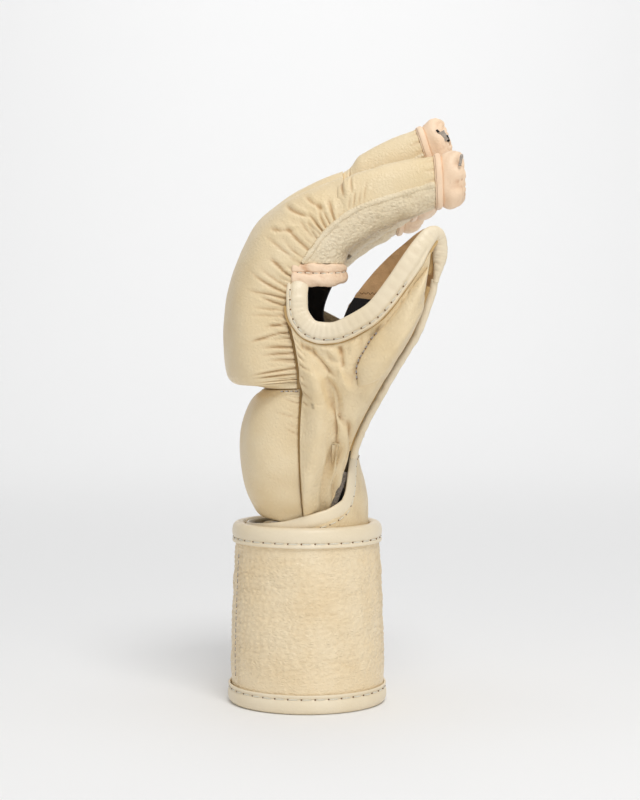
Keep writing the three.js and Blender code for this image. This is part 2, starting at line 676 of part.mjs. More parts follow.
const thumbPadSkin = (thickness) => (a, b) => {
  const r = rowAt(padRows, b);
  const crown = Math.max(0, Math.sin(Math.PI * a) * Math.sin(Math.PI * b)) ** 0.6;
  const height = fit + 0.1 + thickness * (0.18 + 0.82 * crown);
  return offsetSkin(sidePanelSkin, height)(mix(r.from, r.to, a), r.up);
};
add("thumb_pad", leather, wall(thumbPadSkin(thumbPadThickness), thumbPadSkin(0), 8, 9));

// The thumb's far wall, suede inside, with black lining on its lower part.
const farSkin = (depth, top) => (u, v) => {
  const share = v * top;
  const free = thumbPoint(rowAt(farWallRows, share));
  const onArm = share > 0.8;
  const back = onArm ? openingAt(mix(1, 0.84, (share - 0.8) / 0.2)) : backAt(mix(0.215, 0, share / 0.8));
  back.add(vec(-1.4, openingRollThickness / 2 + thumbWall + fit + 0.3, 0));
  const p = free.lerp(back, u);
  const swell = 3 * Math.sin(Math.PI * u) * (1 - share);
  return p.add(vec(0, swell - depth, 0));
};
add("thumb_inner_wall", suede, wall(farSkin(0, 1), farSkin(thumbWall, 1), 6, 12));
const thumbLiningTop = 0.33;
const thumbLiningSkin = (depth) => (u, v) => farSkin(thumbWall + fit + depth, thumbLiningTop)(0.85 * u, v);
add("thumb_lining", blackLining, wall(thumbLiningSkin(0), thumbLiningSkin(liningWall), 6, 5));

// The palm panel runs from the thumb's back edge round the heel of the hand to the far seam.
const palmTopShare = 0.235;
const palmNear = (v) => backAt(mix(0.535, palmTopShare, v)).add(vec(-0.8, pipingWidth / 2 + fit + 0.5, 0));
const palmFar = (v) => sideSeam(mix(rimZ + strapClimb + 4, rimZ + 117, v), 1);
const palmSkin = (depth) => (u, v) => {
  const near = palmNear(v).add(vec(0, depth, 0));
  const far = palmFar(v).add(vec(0, -depth, 0));
  const round = Math.sin(Math.PI * u) ** 0.85;
  const y = mix(near.y, far.y, (1 - Math.cos(Math.PI * u)) / 2);
  const z = mix(near.z, far.z, u) - palmDip * Math.sin(Math.PI * u) * smooth(0.5, 1, v);
  return vec(mix(near.x, far.x, u) + (palmBulge - depth) * round, y, z);
};
add("palm_panel", leather, wall(palmSkin(0), palmSkin(panelWall), 14, 9));

// Grey tape along the wrist slit's edge, behind the side panel.
const slitTape = (v) => backAt(mix(0.73, 0.91, v)).add(vec(-1.8, panelWall + fit + 0.5, 0));
add("slit_tape", greyTape, roll(slitTape, towardsThumb, 4, tapeThickness, 6, 6));

// One finger's sections in the glove's frame.
function fingerRow(finger, t) {
  const r = rowAt(fingerRows, t);
  const turn = THREE.MathUtils.degToRad(finger.lift);
  const place = (x, z) => {
    const along = x * fingerLength * (x > 0 ? finger.length : 1);
    const up = z * fingerHeight;
    const bent = turn * smooth(0.03, 0.35, x);
    return vec(
      splitX + along * Math.cos(bent) - up * Math.sin(bent),
      finger.across * handHalfWidth,
      splitZ + finger.shiftZ + along * Math.sin(bent) + up * Math.cos(bent),
    );
  };
  return {
    crest: place(r.crestX, r.crestZ),
    seam: place(r.seamX, r.seamZ),
    low: place(r.lowX, r.lowZ),
    halfWidth: r.width * fingerHalfWidth,
  };
}

// A finger's section from one side seam to the other, over the crest or under the palm side.
function fingerArc(row, upper, depth, inset) {
  const reach = (upper ? row.crest : row.low).clone().sub(row.seam);
  reach.setLength(Math.max(0.8, reach.length() - depth));
  return (u) => {
    const c = signedPower(Math.cos(Math.PI * u), 0.8);
    const s = signedPower(Math.sin(Math.PI * u), 0.8);
    const p = row.seam.clone().addScaledVector(reach, s);
    return p.setY(p.y - (row.halfWidth - inset) * c);
  };
}
const rowShare = (k) => k / (fingerRows.length - 1);

// A finger's whole section: u from 0 to 1 runs once round it.
const fingerRing = (row, depth) => (u) =>
  u < 0.5 ? fingerArc(row, true, depth, depth)(2 * u) : fingerArc(row, false, depth, depth)(2 - 2 * u);

for (const finger of fingers) {
  const padSkin = (depth, inset) => (u, v) => {
    const t = mix(rowShare(splitRow), 1, v);
    return sloped(fingerArc(fingerRow(finger, t), true, depth, inset)(u).add(vec(0, 0, fit / 2)));
  };
  add(
    `finger_pad_${finger.name}`,
    leather,
    wall(padSkin(0, 0), padSkin(fingerPadThickness, sleeveWall), 8, fingerRows.length - 1 - splitRow),
  );
  const first = rowShare(finger.firstRow);
  const sleeveSkin = (depth) => (u, v) => {
    const t = mix(first, 1, v);
    return sloped(fingerArc(fingerRow(finger, t), false, depth, depth)(u).add(vec(0, 0, -fit / 2)));
  };
  const rowsAlong = fingerRows.length - 1 - finger.firstRow;
  add(`finger_sleeve_${finger.name}`, leather, wall(sleeveSkin(0), sleeveSkin(sleeveWall), 8, rowsAlong));

  // The tip's hem is a soft roll all round the finger's end, rounded over at its front.
  const end = fingerRow(finger, 1);
  const middle = end.crest.clone().lerp(end.low, 0.5).setY(finger.across * handHalfWidth);
  const forward = end.crest.clone().sub(fingerRow(finger, rowShare(5)).crest).setY(0).normalize();
  const hemSkin = (inner) => (u, v) => {
    const rim = fingerRing(end, inner ? hemThickness : 0)(u).sub(middle);
    const shrink = inner ? 1 : 1.01 - 0.18 * v * v + 0.05 * Math.sin(Math.PI * v);
    const along = fit + 0.1 + v * (hemWidth - (inner ? 1.5 : 0));
    return sloped(middle.clone().addScaledVector(rim, shrink).addScaledVector(forward, along));
  };
  add(`tip_hem_${finger.name}`, hemLeather, wall(hemSkin(false), hemSkin(true), 12, 3, true));
}

// The first finger's sleeve ends in a hem at the palm, just above the thumb opening.
const baseRow = fingerRow(fingers[0], 0);
const baseHemSkin = (inner) => (u, v) => {
  const p = fingerArc(baseRow, false, inner ? sleeveWall : 0, inner ? sleeveWall : 0)(u);
  const swell = inner ? 0 : 0.8 * Math.sin(Math.PI * clamp01(v)) ** 0.5;
  const out = p.clone().sub(baseRow.seam).normalize().multiplyScalar(swell);
  return p.add(out).add(vec(0, 0, -fit - 0.4 - v * baseHemWidth));
};
add("base_hem_index", hemLeather, wall(baseHemSkin(false), baseHemSkin(true), 10, 2));

const bounds = new THREE.Box3().setFromObject(glove);
const boxMiddle = bounds.getCenter(vec(0, 0, 0));
glove.position.set(-boxMiddle.x, -boxMiddle.y, -bounds.min.z);

export default glove;
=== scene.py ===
"""Looks of a left-hand leather sparring glove that stands on its cuff.

Every length in the tables is a share of a named size in millimetres, as in the part's own source. A skin is
a function of u and v from 0 to 1 that gives points round the cuff's axis; a grid is laid on it and its
vertices are moved there, with gathers, folds and creases as relief along its normal.
"""

import logging
import math
from dataclasses import dataclass
from enum import Enum
from typing import Callable, Optional, Sequence

import bmesh
import bpy
import numpy as np
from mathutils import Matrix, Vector


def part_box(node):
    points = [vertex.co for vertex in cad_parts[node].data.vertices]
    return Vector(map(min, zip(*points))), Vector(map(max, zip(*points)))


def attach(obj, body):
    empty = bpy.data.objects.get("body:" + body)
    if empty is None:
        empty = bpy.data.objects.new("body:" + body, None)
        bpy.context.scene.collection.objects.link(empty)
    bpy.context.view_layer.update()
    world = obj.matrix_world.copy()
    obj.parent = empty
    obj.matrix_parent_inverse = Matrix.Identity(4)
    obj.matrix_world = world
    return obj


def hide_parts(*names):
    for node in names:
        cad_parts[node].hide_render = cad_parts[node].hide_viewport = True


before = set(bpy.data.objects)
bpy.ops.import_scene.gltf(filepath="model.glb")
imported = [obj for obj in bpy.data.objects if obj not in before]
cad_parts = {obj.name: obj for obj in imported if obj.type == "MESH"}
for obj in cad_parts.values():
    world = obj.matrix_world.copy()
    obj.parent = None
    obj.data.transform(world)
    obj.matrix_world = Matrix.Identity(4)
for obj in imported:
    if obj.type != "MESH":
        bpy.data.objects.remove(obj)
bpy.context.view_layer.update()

log = logging.getLogger("glove")
logging.basicConfig(level=logging.INFO, format="%(name)s: %(message)s")

Array = np.ndarray
Skin = Callable[[Array, Array], Array]
Curve = Callable[[Array], Array]
Relief = Callable[[Array, Array, Array], Array]

MM = 0.001
FIT = 0.3

# The cuff, its bindings and the strap inside it.
CUFF_HEIGHT = 88.0
CUFF_RADIUS = 37.6
CUFF_WALL = 3.0
BINDING_LEATHER = 0.9
BINDING_FOOT = 1.6
STRAP_WALL = 1.8
STRAP_INSET = 8.0
STRAP_CLIMB = 37.0
STRAP_LEAN = 5.0
STRAP_SPREAD = 6.0
STRAP_ROLL = 2.2
TAPE_THICKNESS = 1.0
LINING_WALL = 1.3
LINING_TAIL = 24.0
LINING_RISE = 34.0
LINING_CENTRE = 4.0
LINING_HALF_DEPTH = 14.0
LINING_HALF_WIDTH = 20.0

# The hand.
WRIST_RISE = 66.0
KNUCKLE_RISE = 106.0
HAND_DEPTH = 40.0
HAND_HALF_WIDTH = 42.0
PANEL_WALL = 2.2
PALM_BULGE = 14.0
PALM_DIP = 6.0
PAD_EDGE = 3.2
PAD_SIDE_BULGE = 5.0
ULNAR_DROP = 9.0

# The thumb pocket.
THUMB_REACH = 64.0
THUMB_HEIGHT = 72.0
THUMB_DEPTH = 48.0
THUMB_WALL = 2.0
THUMB_PAD_THICKNESS = 4.5
THUMB_BULGE = 4.5
OPENING_ROLL_WIDTH = 10.0
OPENING_ROLL_THICKNESS = 5.2
PIPING_WIDTH = 3.6

# The fingers.
FINGER_LENGTH = 42.0
FINGER_HEIGHT = 36.0
FINGER_HALF_WIDTH = 10.2
FINGER_PAD_THICKNESS = 6.5
SLEEVE_WALL = 1.8
HEM_WIDTH = 14.0
BASE_HEM_WIDTH = 8.5

RIM_Z = CUFF_HEIGHT
CREASE_Z = CUFF_HEIGHT + WRIST_RISE
SPLIT_X = 0.42 * HAND_DEPTH
SPLIT_Z = CREASE_Z + 0.755 * KNUCKLE_RISE


def smooth(low: float, high: float, t: Array) -> Array:
    """Rises softly from 0 to 1 as t goes from low to high."""
    s = np.clip((t - low) / (high - low), 0, 1)
    return s * s * (3 - 2 * s)


def mix(a: Array, b: Array, t: Array) -> Array:
    """A value between a and b at the share t."""
    return a + (b - a) * t


def bell(x: Array, spread: float) -> Array:
    """A soft bump that is 1 at 0 and fades over the spread."""
    return np.exp(-((x / spread) ** 2))


def signed_power(x: Array, power: float) -> Array:
    """A power that keeps the sign of its base."""
    return np.sign(x) * np.abs(x) ** power


def points(x: Array, y: Array, z: Array) -> Array:
    """Coordinates as an array of points."""
    return np.stack(np.broadcast_arrays(x, y, z), axis=-1).astype(float)


class Table:
    """Rows of named shares that are read on a smooth curve through them."""

    def __init__(self, columns: str, rows: Sequence[Sequence[float]]) -> None:
        """Keeps the columns' names, written with spaces between them, and the rows."""
        self.names = columns.split()
        self.rows = np.array(rows, float)

    def at(self, t: Array) -> dict[str, Array]:
        """Every column at t, from 0 on the first row to 1 on the last."""
        last = len(self.rows) - 1
        place = np.clip(np.asarray(t, float), 0, 1) * last
        i = np.minimum(last - 1, np.floor(place).astype(int))
        f = (place - i)[..., None]
        p1, p2 = self.rows[i], self.rows[i + 1]
        p0 = np.where((i > 0)[..., None], self.rows[np.maximum(i - 1, 0)], 2 * p1 - p2)
        p3 = np.where((i + 2 <= last)[..., None], self.rows[np.minimum(i + 2, last)], 2 * p2 - p1)
        bend = 2 * p0 - 5 * p1 + 4 * p2 - p3
        mixed = 0.5 * (2 * p1 + (p2 - p0) * f + bend * f**2 + (3 * (p1 - p2) + p3 - p0) * f**3)
        return {name: mixed[..., k] for k, name in enumerate(self.names)}

    def where(self, key: str, value: Array) -> dict[str, Array]:
        """Every column where the rising column named key has the given value."""
        column = self.rows[:, self.names.index(key)]
        share = np.interp(np.asarray(value, float), column, np.arange(len(column)))
        return self.at(share / (len(column) - 1))


CUFF_ROWS = Table("radius", [[0.985], [1.0], [0.985], [0.958], [0.92]])

STRAP_ROWS = Table(
    "turn rise",
    [
        [-150, -0.08],
        [-60, -0.05],
        [-20, 0.01],
        [7, 0.11],
        [22, 0.17],
        [34, 0.25],
        [43, 0.36],
        [58, 0.74],
        [70, 0.97],
        [100, 1.0],
        [172, 1.0],
    ],
)

BACKHAND_ROWS = Table(
    "rise lift crest seam width hollow",
    [
        [-0.01, 0.055, 0.42, 0.02, 0.6, 0.72],
        [0.01, 0.05, 0.58, 0.03, 0.61, 0.6],
        [0.09, 0.035, 0.665, 0.05, 0.64, 0.52],
        [0.22, 0.01, 0.74, 0.07, 0.76, 0.48],
        [0.4, 0, 0.8, 0.09, 0.86, 0.46],
        [0.57, 0, 0.82, 0.1, 0.9, 0.46],
        [0.72, 0, 0.79, 0.1, 0.93, 0.48],
        [0.86, -0.01, 0.725, 0.09, 0.945, 0.52],
        [0.95, -0.02, 0.63, 0.08, 0.95, 0.6],
        [0.985, -0.015, 0.52, 0.075, 0.95, 0.7],
    ],
)

KNUCKLE_ROWS = Table(
    "crest_x crest_z seam_x seam_z width hollow",
    [
        [-0.5, 0.005, -0.11, 0.012, 0.97, 0.72],
        [-0.81, 0.008, -0.11, 0.02, 0.98, 0.5],
        [-0.945, 0.035, -0.112, 0.04, 0.985, 0.43],
        [-1.0, 0.1, -0.12, 0.09, 1.0, 0.4],
        [-1.015, 0.21, -0.165, 0.19, 1.0, 0.4],
        [-1.0, 0.32, -0.22, 0.28, 1.0, 0.4],
        [-0.965, 0.43, -0.235, 0.38, 1.0, 0.42],
        [-0.86, 0.56, -0.165, 0.475, 1.0, 0.44],
        [-0.66, 0.72, -0.04, 0.57, 1.0, 0.47],
        [-0.35, 0.83, 0.125, 0.655, 1.0, 0.5],
        [-0.05, 0.905, 0.26, 0.71, 1.0, 0.54],
        [0.43, 0.98, 0.43, 0.755, 1.0, 0.6],
    ],
)

OPENING_PATH = Table(
    "x z y size",
    [
        [-0.068, 0.675, 0.91, 1],
        [-0.07, 0.58, 0.92, 1],
        [-0.058, 0.48, 0.94, 1],
        [0.01, 0.395, 0.96, 1],
        [0.1, 0.365, 0.98, 1],
        [0.22, 0.37, 1.0, 1],
        [0.36, 0.425, 1.03, 1],
        [0.5, 0.51, 1.05, 1],
        [0.64, 0.665, 1.05, 1],
        [0.76, 0.82, 1.02, 1],
        [0.86, 0.955, 0.95, 0.85],
        [0.93, 1.005, 0.89, 0.68],
        [0.97, 0.95, 0.84, 0.66],
        [0.968, 0.83, 0.81, 0.7],
        [0.94, 0.69, 0.79, 0.7],
    ],
)

BACK_PATH = Table(
    "x z y",
    [
        [0.93, 0.65, 0.785],
        [0.895, 0.56, 0.77],
        [0.81, 0.355, 0.75],
        [0.645, 0.11, 0.71],
        [0.47, -0.17, 0.67],
        [0.375, -0.36, 0.58],
        [0.34, -0.49, 0.49],
        [0.29, -0.62, 0.44],
        [0.225, -0.77, 0.44],
        [0.16, -0.95, 0.46],
    ],
)
PIPED_SHARE = 0.64

FAR_WALL_ROWS = Table(
    "x z y",
    [
        [0.2, 0.2, 0.54],
        [0.25, 0.4, 0.52],
        [0.32, 0.55, 0.51],
        [0.43, 0.69, 0.5],
        [0.57, 0.83, 0.51],
        [0.71, 0.94, 0.56],
        [0.84, 1.03, 0.66],
        [0.92, 1.05, 0.76],
    ],
)

# Soft folds of the thumb-side panel: ends as shares of the thumb's reach and height, size in millimetres.
PANEL_FOLDS = [
    # x1, z1, x2, z2, height, spread
    (-0.02, 0.18, 0.2, -0.2, 1.5, 3.0),
    (0.03, 0.0, 0.04, -0.8, 1.2, 4.5),
    (0.2, -0.15, 0.24, -0.55, 1.8, 3.0),
    (0.13, 0.02, 0.2, -0.3, -1.5, 2.6),
    (0.17, -0.32, 0.17, -0.75, -1.6, 2.4),
    (0.24, -0.36, 0.27, -0.6, -0.9, 1.8),
    (-0.03, 0.3, 0.1, 0.1, -1.1, 2.6),
    (0.02, 0.28, 0.2, 0.12, 1.1, 2.6),
    (0.08, 0.26, 0.26, 0.16, -0.8, 2.2),
    (0.12, 0.26, 0.3, 0.05, -1.0, 3.0),
]

# Its sharper creases and ridges, written in the same way.
PANEL_CREASES = [
    (0.14, 0.05, 0.185, -0.84, -3.2, 1.7),
    (0.035, 0.12, 0.045, -0.85, 2.7, 4.2),
    (-0.05, 0.29, 0.21, 0.1, -2.16, 1.5),
    (0, 0.33, 0.27, 0.2, 1.62, 2.2),
    (0.14, 0.08, 0.29, -0.22, -2.29, 1.7),
    (0.19, 0.16, 0.33, -0.02, 1.76, 2.4),
    (0.22, -0.3, 0.228, -0.74, -2.43, 1.1),
    (0.262, -0.24, 0.25, -0.68, 2.03, 1.5),
    (0.305, -0.2, 0.29, -0.58, -1.76, 1.1),
    (0.53, 0.46, 0.35, 0.06, -1.76, 1.5),
    (0.33, 0.33, 0.24, 0.02, 1.22, 2.6),
    (0.2, 0.33, 0.29, 0.14, -1.22, 1.1),
]

# The thumb pad's left and right edges on the side panel, from the bottom up.
PAD_ROWS = Table(
    "left_u left_v right_u right_v",
    [
        [0.475, 0.735, 0.6, 0.715],
        [0.452, 0.8, 0.74, 0.688],
        [0.47, 0.87, 0.87, 0.705],
        [0.52, 0.915, 0.97, 0.75],
        [0.575, 0.955, 0.98, 0.82],
        [0.66, 0.97, 0.98, 0.875],
        [0.76, 0.975, 0.98, 0.92],
        [0.85, 0.98, 0.98, 0.955],
    ],
)

FINGER_ROWS = Table(
    "crest_x crest_z seam_x seam_z low_x low_z width",
    [
        [-0.5, 0.02, -0.46, -0.6, 0.02, -0.6, 0.93],
        [-0.37, 0.17, -0.33, -0.42, 0.07, -0.46, 0.96],
        [-0.24, 0.3, -0.22, -0.25, 0.15, -0.36, 0.98],
        [0.03, 0.5, 0.03, 0.01, 0.37, -0.2, 1.0],
        [0.25, 0.61, 0.27, 0.15, 0.58, -0.09, 1.0],
        [0.62, 0.725, 0.64, 0.29, 0.82, 0.01, 0.98],
        [1.0, 0.79, 1.02, 0.41, 1.03, 0.12, 0.96],
    ],
)
SPLIT_ROW = 3
FINGER_STEPS = len(FINGER_ROWS.rows) - 1


def sloped(p: Array) -> Array:
    """Lowers the little finger's side of the hand.

    Args:
        p: points round the cuff's axis.

    Returns:
        The points, lower and further back towards the little finger.
    """
    share = smooth(0, HAND_HALF_WIDTH, p[..., 1]) * smooth(CREASE_Z, SPLIT_Z, p[..., 2])
    return p + points(-0.3 * ULNAR_DROP * share, 0 * share, -ULNAR_DROP * share)


def around(radius: Array, turn: Array, z: Array) -> Array:
    """Points round the cuff's axis; turn 0 faces the thumb side and 90 degrees the palm."""
    angle = np.radians(turn)
    return points(radius * np.sin(angle), -radius * np.cos(angle), z)


def normals(skin: Skin, u: Array, v: Array, heart: Callable[[Array], Array]) -> Array:
    """Unit normals of a skin that point away from its heart.

    Args:
        skin: the skin.
        u: shares across.
        v: shares along.
        heart: gives, for points of the skin, points inside the piece.

    Returns:
        One unit vector for each point.
    """
    step = 0.002
    du = skin(np.minimum(1, u + step), v) - skin(np.maximum(0, u - step), v)
    dv = skin(u, np.minimum(1, v + step)) - skin(u, np.maximum(0, v - step))
    n = np.cross(du, dv)
    n /= np.maximum(np.linalg.norm(n, axis=-1, keepdims=True), 1e-9)
    p = skin(u, v)
    away = np.sum(n * (p - heart(p)), axis=-1, keepdims=True)
    sign = 1.0 if np.mean(away) >= 0 else -1.0
    return n * sign


def waves(p: Array, wavelength: float, seed: int, count: int = 14) -> Array:
    """Soft lumps from a few plane waves, about -1 to 1.

    Args:
        p: points in millimetres.
        wavelength: the lumps' usual spacing.
        seed: picks the waves.
        count: how many waves there are.

    Returns:
        One value for each point.
    """
    rng = np.random.default_rng(seed)
    direction = rng.normal(size=(count, 3))
    direction /= np.linalg.norm(direction, axis=1, keepdims=True)
    length = wavelength * rng.uniform(0.7, 1.5, count)
    phase = rng.uniform(0, 2 * math.pi, count)
    return np.cos(2 * math.pi * (p @ direction.T) / length + phase).sum(-1) / math.sqrt(count)


def pebbles(across: Array, up: Array, seed: int) -> Array:
    """The height of a bed of rounded pebbles, 0 in the valleys and 1 on their tops.

    Args:
        across: place along the surface, in pebbles.
        up: place up the surface, in pebbles.
        seed: picks where the pebbles lie.

    Returns:
        The height of each point.
    """
    spots = np.random.default_rng(seed).random((2, 128, 128))
    nearest = np.full(across.shape, 9.0)
    second = np.full(across.shape, 9.0)
    for i in (-1, 0, 1):
        for j in (-1, 0, 1):
            column = np.floor(across).astype(int) + i
            row = np.floor(up).astype(int) + j
            aside = column + 0.1 + 0.8 * spots[0, column % 128, row % 128] - across
            above = row + 0.1 + 0.8 * spots[1, column % 128, row % 128] - up
            distance = np.hypot(aside, above)
            second = np.minimum(second, np.maximum(nearest, distance))
            nearest = np.minimum(nearest, distance)
    return smooth(0, 0.5, second - nearest)


@dataclass(frozen=True)
class Gathers:
    """Creases that run off a gathered seam, with the leather puffed up between them."""

    start: float
    stop: float
    count: int
    reach: float
    depth: float
    seed: int
    slant: float = 0.0
    width: float = 0.9

    def height(self, along: Array, away: Array) -> Array:
        """Relief in millimetres, below zero in a crease.

        Args:
            along: place along the seam in millimetres.
            away: distance from the seam in millimetres.

        Returns:
            One height for each point.
        """
        rng = np.random.default_rng(self.seed)
        pitch = (self.stop - self.start) / self.count
        total = np.zeros_like(along)
        for k in range(self.count):
            place = self.start + (k + 0.5 + rng.uniform(-0.3, 0.3)) * pitch
            reach = self.reach * rng.uniform(0.5, 1.35)
            depth = self.depth * rng.uniform(0.45, 1.15)
            lean = self.slant + rng.uniform(-0.14, 0.14)
            wave = 0.25 * np.sin(away / reach * 3.1 + rng.uniform(0, 6.3))
            across = along - place - lean * away - wave
            width = self.width * (0.75 + 0.9 * np.clip(away / reach, 0, 1.5))
            fade = 1 - smooth(0.25, 1.0, away / reach)
            total -= depth * fade * np.exp(-np.abs(across / width) ** 1.5)
            total += 0.45 * depth * fade * bell(np.abs(across) - 0.42 * pitch, 0.3 * pitch)
        return total


@dataclass(frozen=True)
class Crease:
    """One long crease between two places on a skin, in shares of u and v."""

    u1: float
    v1: float
    u2: float
    v2: float
    depth: float
    width: float

    def height(self, u: Array, v: Array, size_u: float, size_v: float) -> Array:
        """Relief in millimetres, below zero in the crease.

        Args:
            u: shares across.
            v: shares along.
            size_u: the skin's width in millimetres.
            size_v: the skin's length in millimetres.

        Returns:
            One height for each point.
        """
        ax, ay = (self.u2 - self.u1) * size_u, (self.v2 - self.v1) * size_v
        px, py = (u - self.u1) * size_u, (v - self.v1) * size_v
        length = math.hypot(ax, ay)
        share = (px * ax + py * ay) / length**2
        bow = 0.06 * length * np.sin(math.pi * np.clip(share, 0, 1))
        across = (px * ay - py * ax) / length - bow
        ends = smooth(-0.12, 0.25, share) * (1 - smooth(0.7, 1.12, share))
        lips = 0.35 * bell(np.abs(across) - 2 * self.width, self.width)
        return self.depth * ends * (lips - bell(across, self.width))


def linear(hex_colour: str) -> tuple[float, float, float, float]:
    """An sRGB hex colour such as #E6D2A8 turned to linear values with full alpha."""
    values = [int(hex_colour[i : i + 2], 16) / 255 for i in (1, 3, 5)]
    turned = [c / 12.92 if c <= 0.04045 else ((c + 0.055) / 1.055) ** 2.4 for c in values]
    return (turned[0], turned[1], turned[2], 1.0)


def node(
    tree: bpy.types.NodeTree,
    kind: str,
    settings: Optional[dict] = None,
    values: Optional[dict] = None,
    links: Optional[dict] = None,
) -> bpy.types.Node:
    """Adds a node with its settings, its sockets' values and its incoming links.

    Args:
        tree: the material's node tree.
        kind: the node's type name without the ShaderNode prefix.
        settings: attributes of the node.
        values: socket names or numbers with their values.
        links: socket names or numbers with the output that feeds each.

    Returns:
        The new node.
    """
    made = tree.nodes.new("ShaderNode" + kind)
    for key, value in (settings or {}).items():
        setattr(made, key, value)
    for key, value in (values or {}).items():
        made.inputs[key].default_value = value
    for key, output in (links or {}).items():
        tree.links.new(output, made.inputs[key])
    return made


class Slot(Enum):
    """The record's material slots."""

    CREAM = "cream_leather"
    BINDING = "binding_leather"
    HEM = "hem_leather"
    SUEDE = "tan_suede"
    LINING = "black_lining"
    TAPE = "grey_tape"


@dataclass(frozen=True)
class LeatherFinish:
    """Full-grain leather: pores, a web of fine wrinkles and soft changes of tone, and painted shade in the
    creases of the mesh.

    Lengths are in millimetres. The wrinkles may be stretched along X and Y or along Z.
    """

    name: str
    colour: str
    patch: str
    # crease: the colour of the wrinkle web's grooves, and the colour of the painted shade in the mesh's
    # creases.
    crease: str
    roughness: float
    pore: float
    pore_depth: float
    wrinkle: float
    wrinkle_depth: float
    vein: float
    stretch: tuple[float, float, float] = (1.0, 1.0, 1.0)
    sheen: float = 0.0

    def material(self) -> bpy.types.Material:
        """Builds the material."""
        made = bpy.data.materials.new(self.name)
        made.use_nodes = True
        tree = made.node_tree
        tree.nodes.clear()
        place = node(tree, "TexCoord").outputs["Object"]
        scaled = node(tree, "Mapping", values={"Scale": self.stretch}, links={"Vector": place})
        soft = node(
            tree,
            "TexNoise",
            values={"Scale": 300 / self.wrinkle / 1.6, "Detail": 2.0},
            links={"Vector": place},
        )
        bent = node(
            tree,
            "VectorMath",
            {"operation": "MULTIPLY_ADD"},
            {1: (self.wrinkle * MM * 0.9,) * 3},
            {0: soft.outputs["Color"], 2: scaled.outputs["Vector"]},
        )
        web = node(
            tree,
            "TexVoronoi",
            {"feature": "DISTANCE_TO_EDGE"},
            {"Scale": 1 / (self.wrinkle * MM)},
            {"Vector": bent.outputs["Vector"]},
        )
        groove = node(
            tree,
            "MapRange",
            {"interpolation_type": "SMOOTHSTEP"},
            {"From Min": 0.0, "From Max": 0.5},
            {"Value": web.outputs["Distance"]},
        )
        pores = node(
            tree,
            "TexVoronoi",
            {"feature": "SMOOTH_F1"},
            {"Scale": 1 / (self.pore * MM), "Smoothness": 0.6},
            {"Vector": place},
        )
        strength = node(
            tree, "TexNoise", values={"Scale": 55.0, "Detail": 2.0, "Roughness": 0.5}, links={"Vector": place}
        )
        shown = node(
            tree,
            "MapRange",
            values={"From Min": 0.35, "From Max": 0.65, "To Min": 0.65, "To Max": 1.0},
            links={"Value": strength.outputs["Fac"]},
        )
        coarse = node(
            tree,
            "Bump",
            values={"Distance": self.wrinkle_depth * MM},
            links={"Height": groove.outputs["Result"], "Strength": shown.outputs["Result"]},
        )
        fine = node(
            tree,
            "Bump",
            values={"Distance": self.pore_depth * MM, "Strength": 1.0},
            links={"Height": pores.outputs["Distance"], "Normal": coarse.outputs["Normal"]},
        )
        tone = node(
            tree,
            "TexNoise",
            values={"Scale": 38.0, "Detail": 3.0, "Roughness": 0.55},
            links={"Vector": place},
        )
        tone_share = node(
            tree,
            "MapRange",
            values={"From Min": 0.35, "From Max": 0.7},
            links={"Value": tone.outputs["Fac"]},
        )
        toned = node(
            tree,
            "Mix",
            {"data_type": "RGBA"},
            {6: linear(self.colour), 7: linear(self.patch)},
            {0: tone_share.outputs["Result"]},
        )
        lined = node(
            tree,
            "MapRange",
            values={"From Min": 0.0, "From Max": 1.0, "To Min": self.vein, "To Max": 0.0},
            links={"Value": groove.outputs["Result"]},
        )
        veined = node(
            tree,
            "Mix",
            {"data_type": "RGBA"},
            {7: linear(self.crease)},
            {0: lined.outputs["Result"], 6: toned.outputs[2]},
        )
        # Painted shade: the crease attribute, from how deep the mesh's creases are, mixes the crease colour
        # in.
        hollow = node(tree, "Attribute", {"attribute_name": "crease"})
        shaded = node(
            tree,
            "Mix",
            {"data_type": "RGBA"},
            {7: linear(self.crease)},
            {0: hollow.outputs["Fac"], 6: veined.outputs[2]},
        )
        gloss = node(
            tree,
            "MapRange",
            values={"To Min": self.roughness - 0.06, "To Max": self.roughness + 0.08},
            links={"Value": tone.outputs["Fac"]},
        )
        shader = node(
            tree,
            "BsdfPrincipled",
            values={
                "IOR": 1.47,
                "Specular IOR Level": 0.4,
                "Sheen Weight": self.sheen,
                "Sheen Roughness": 0.4,
            },
            links={
                "Base Color": shaded.outputs[2],
                "Roughness": gloss.outputs["Result"],
                "Normal": fine.outputs["Normal"],
            },
        )
        node(tree, "OutputMaterial", links={"Surface": shader.outputs["BSDF"]})
        return made


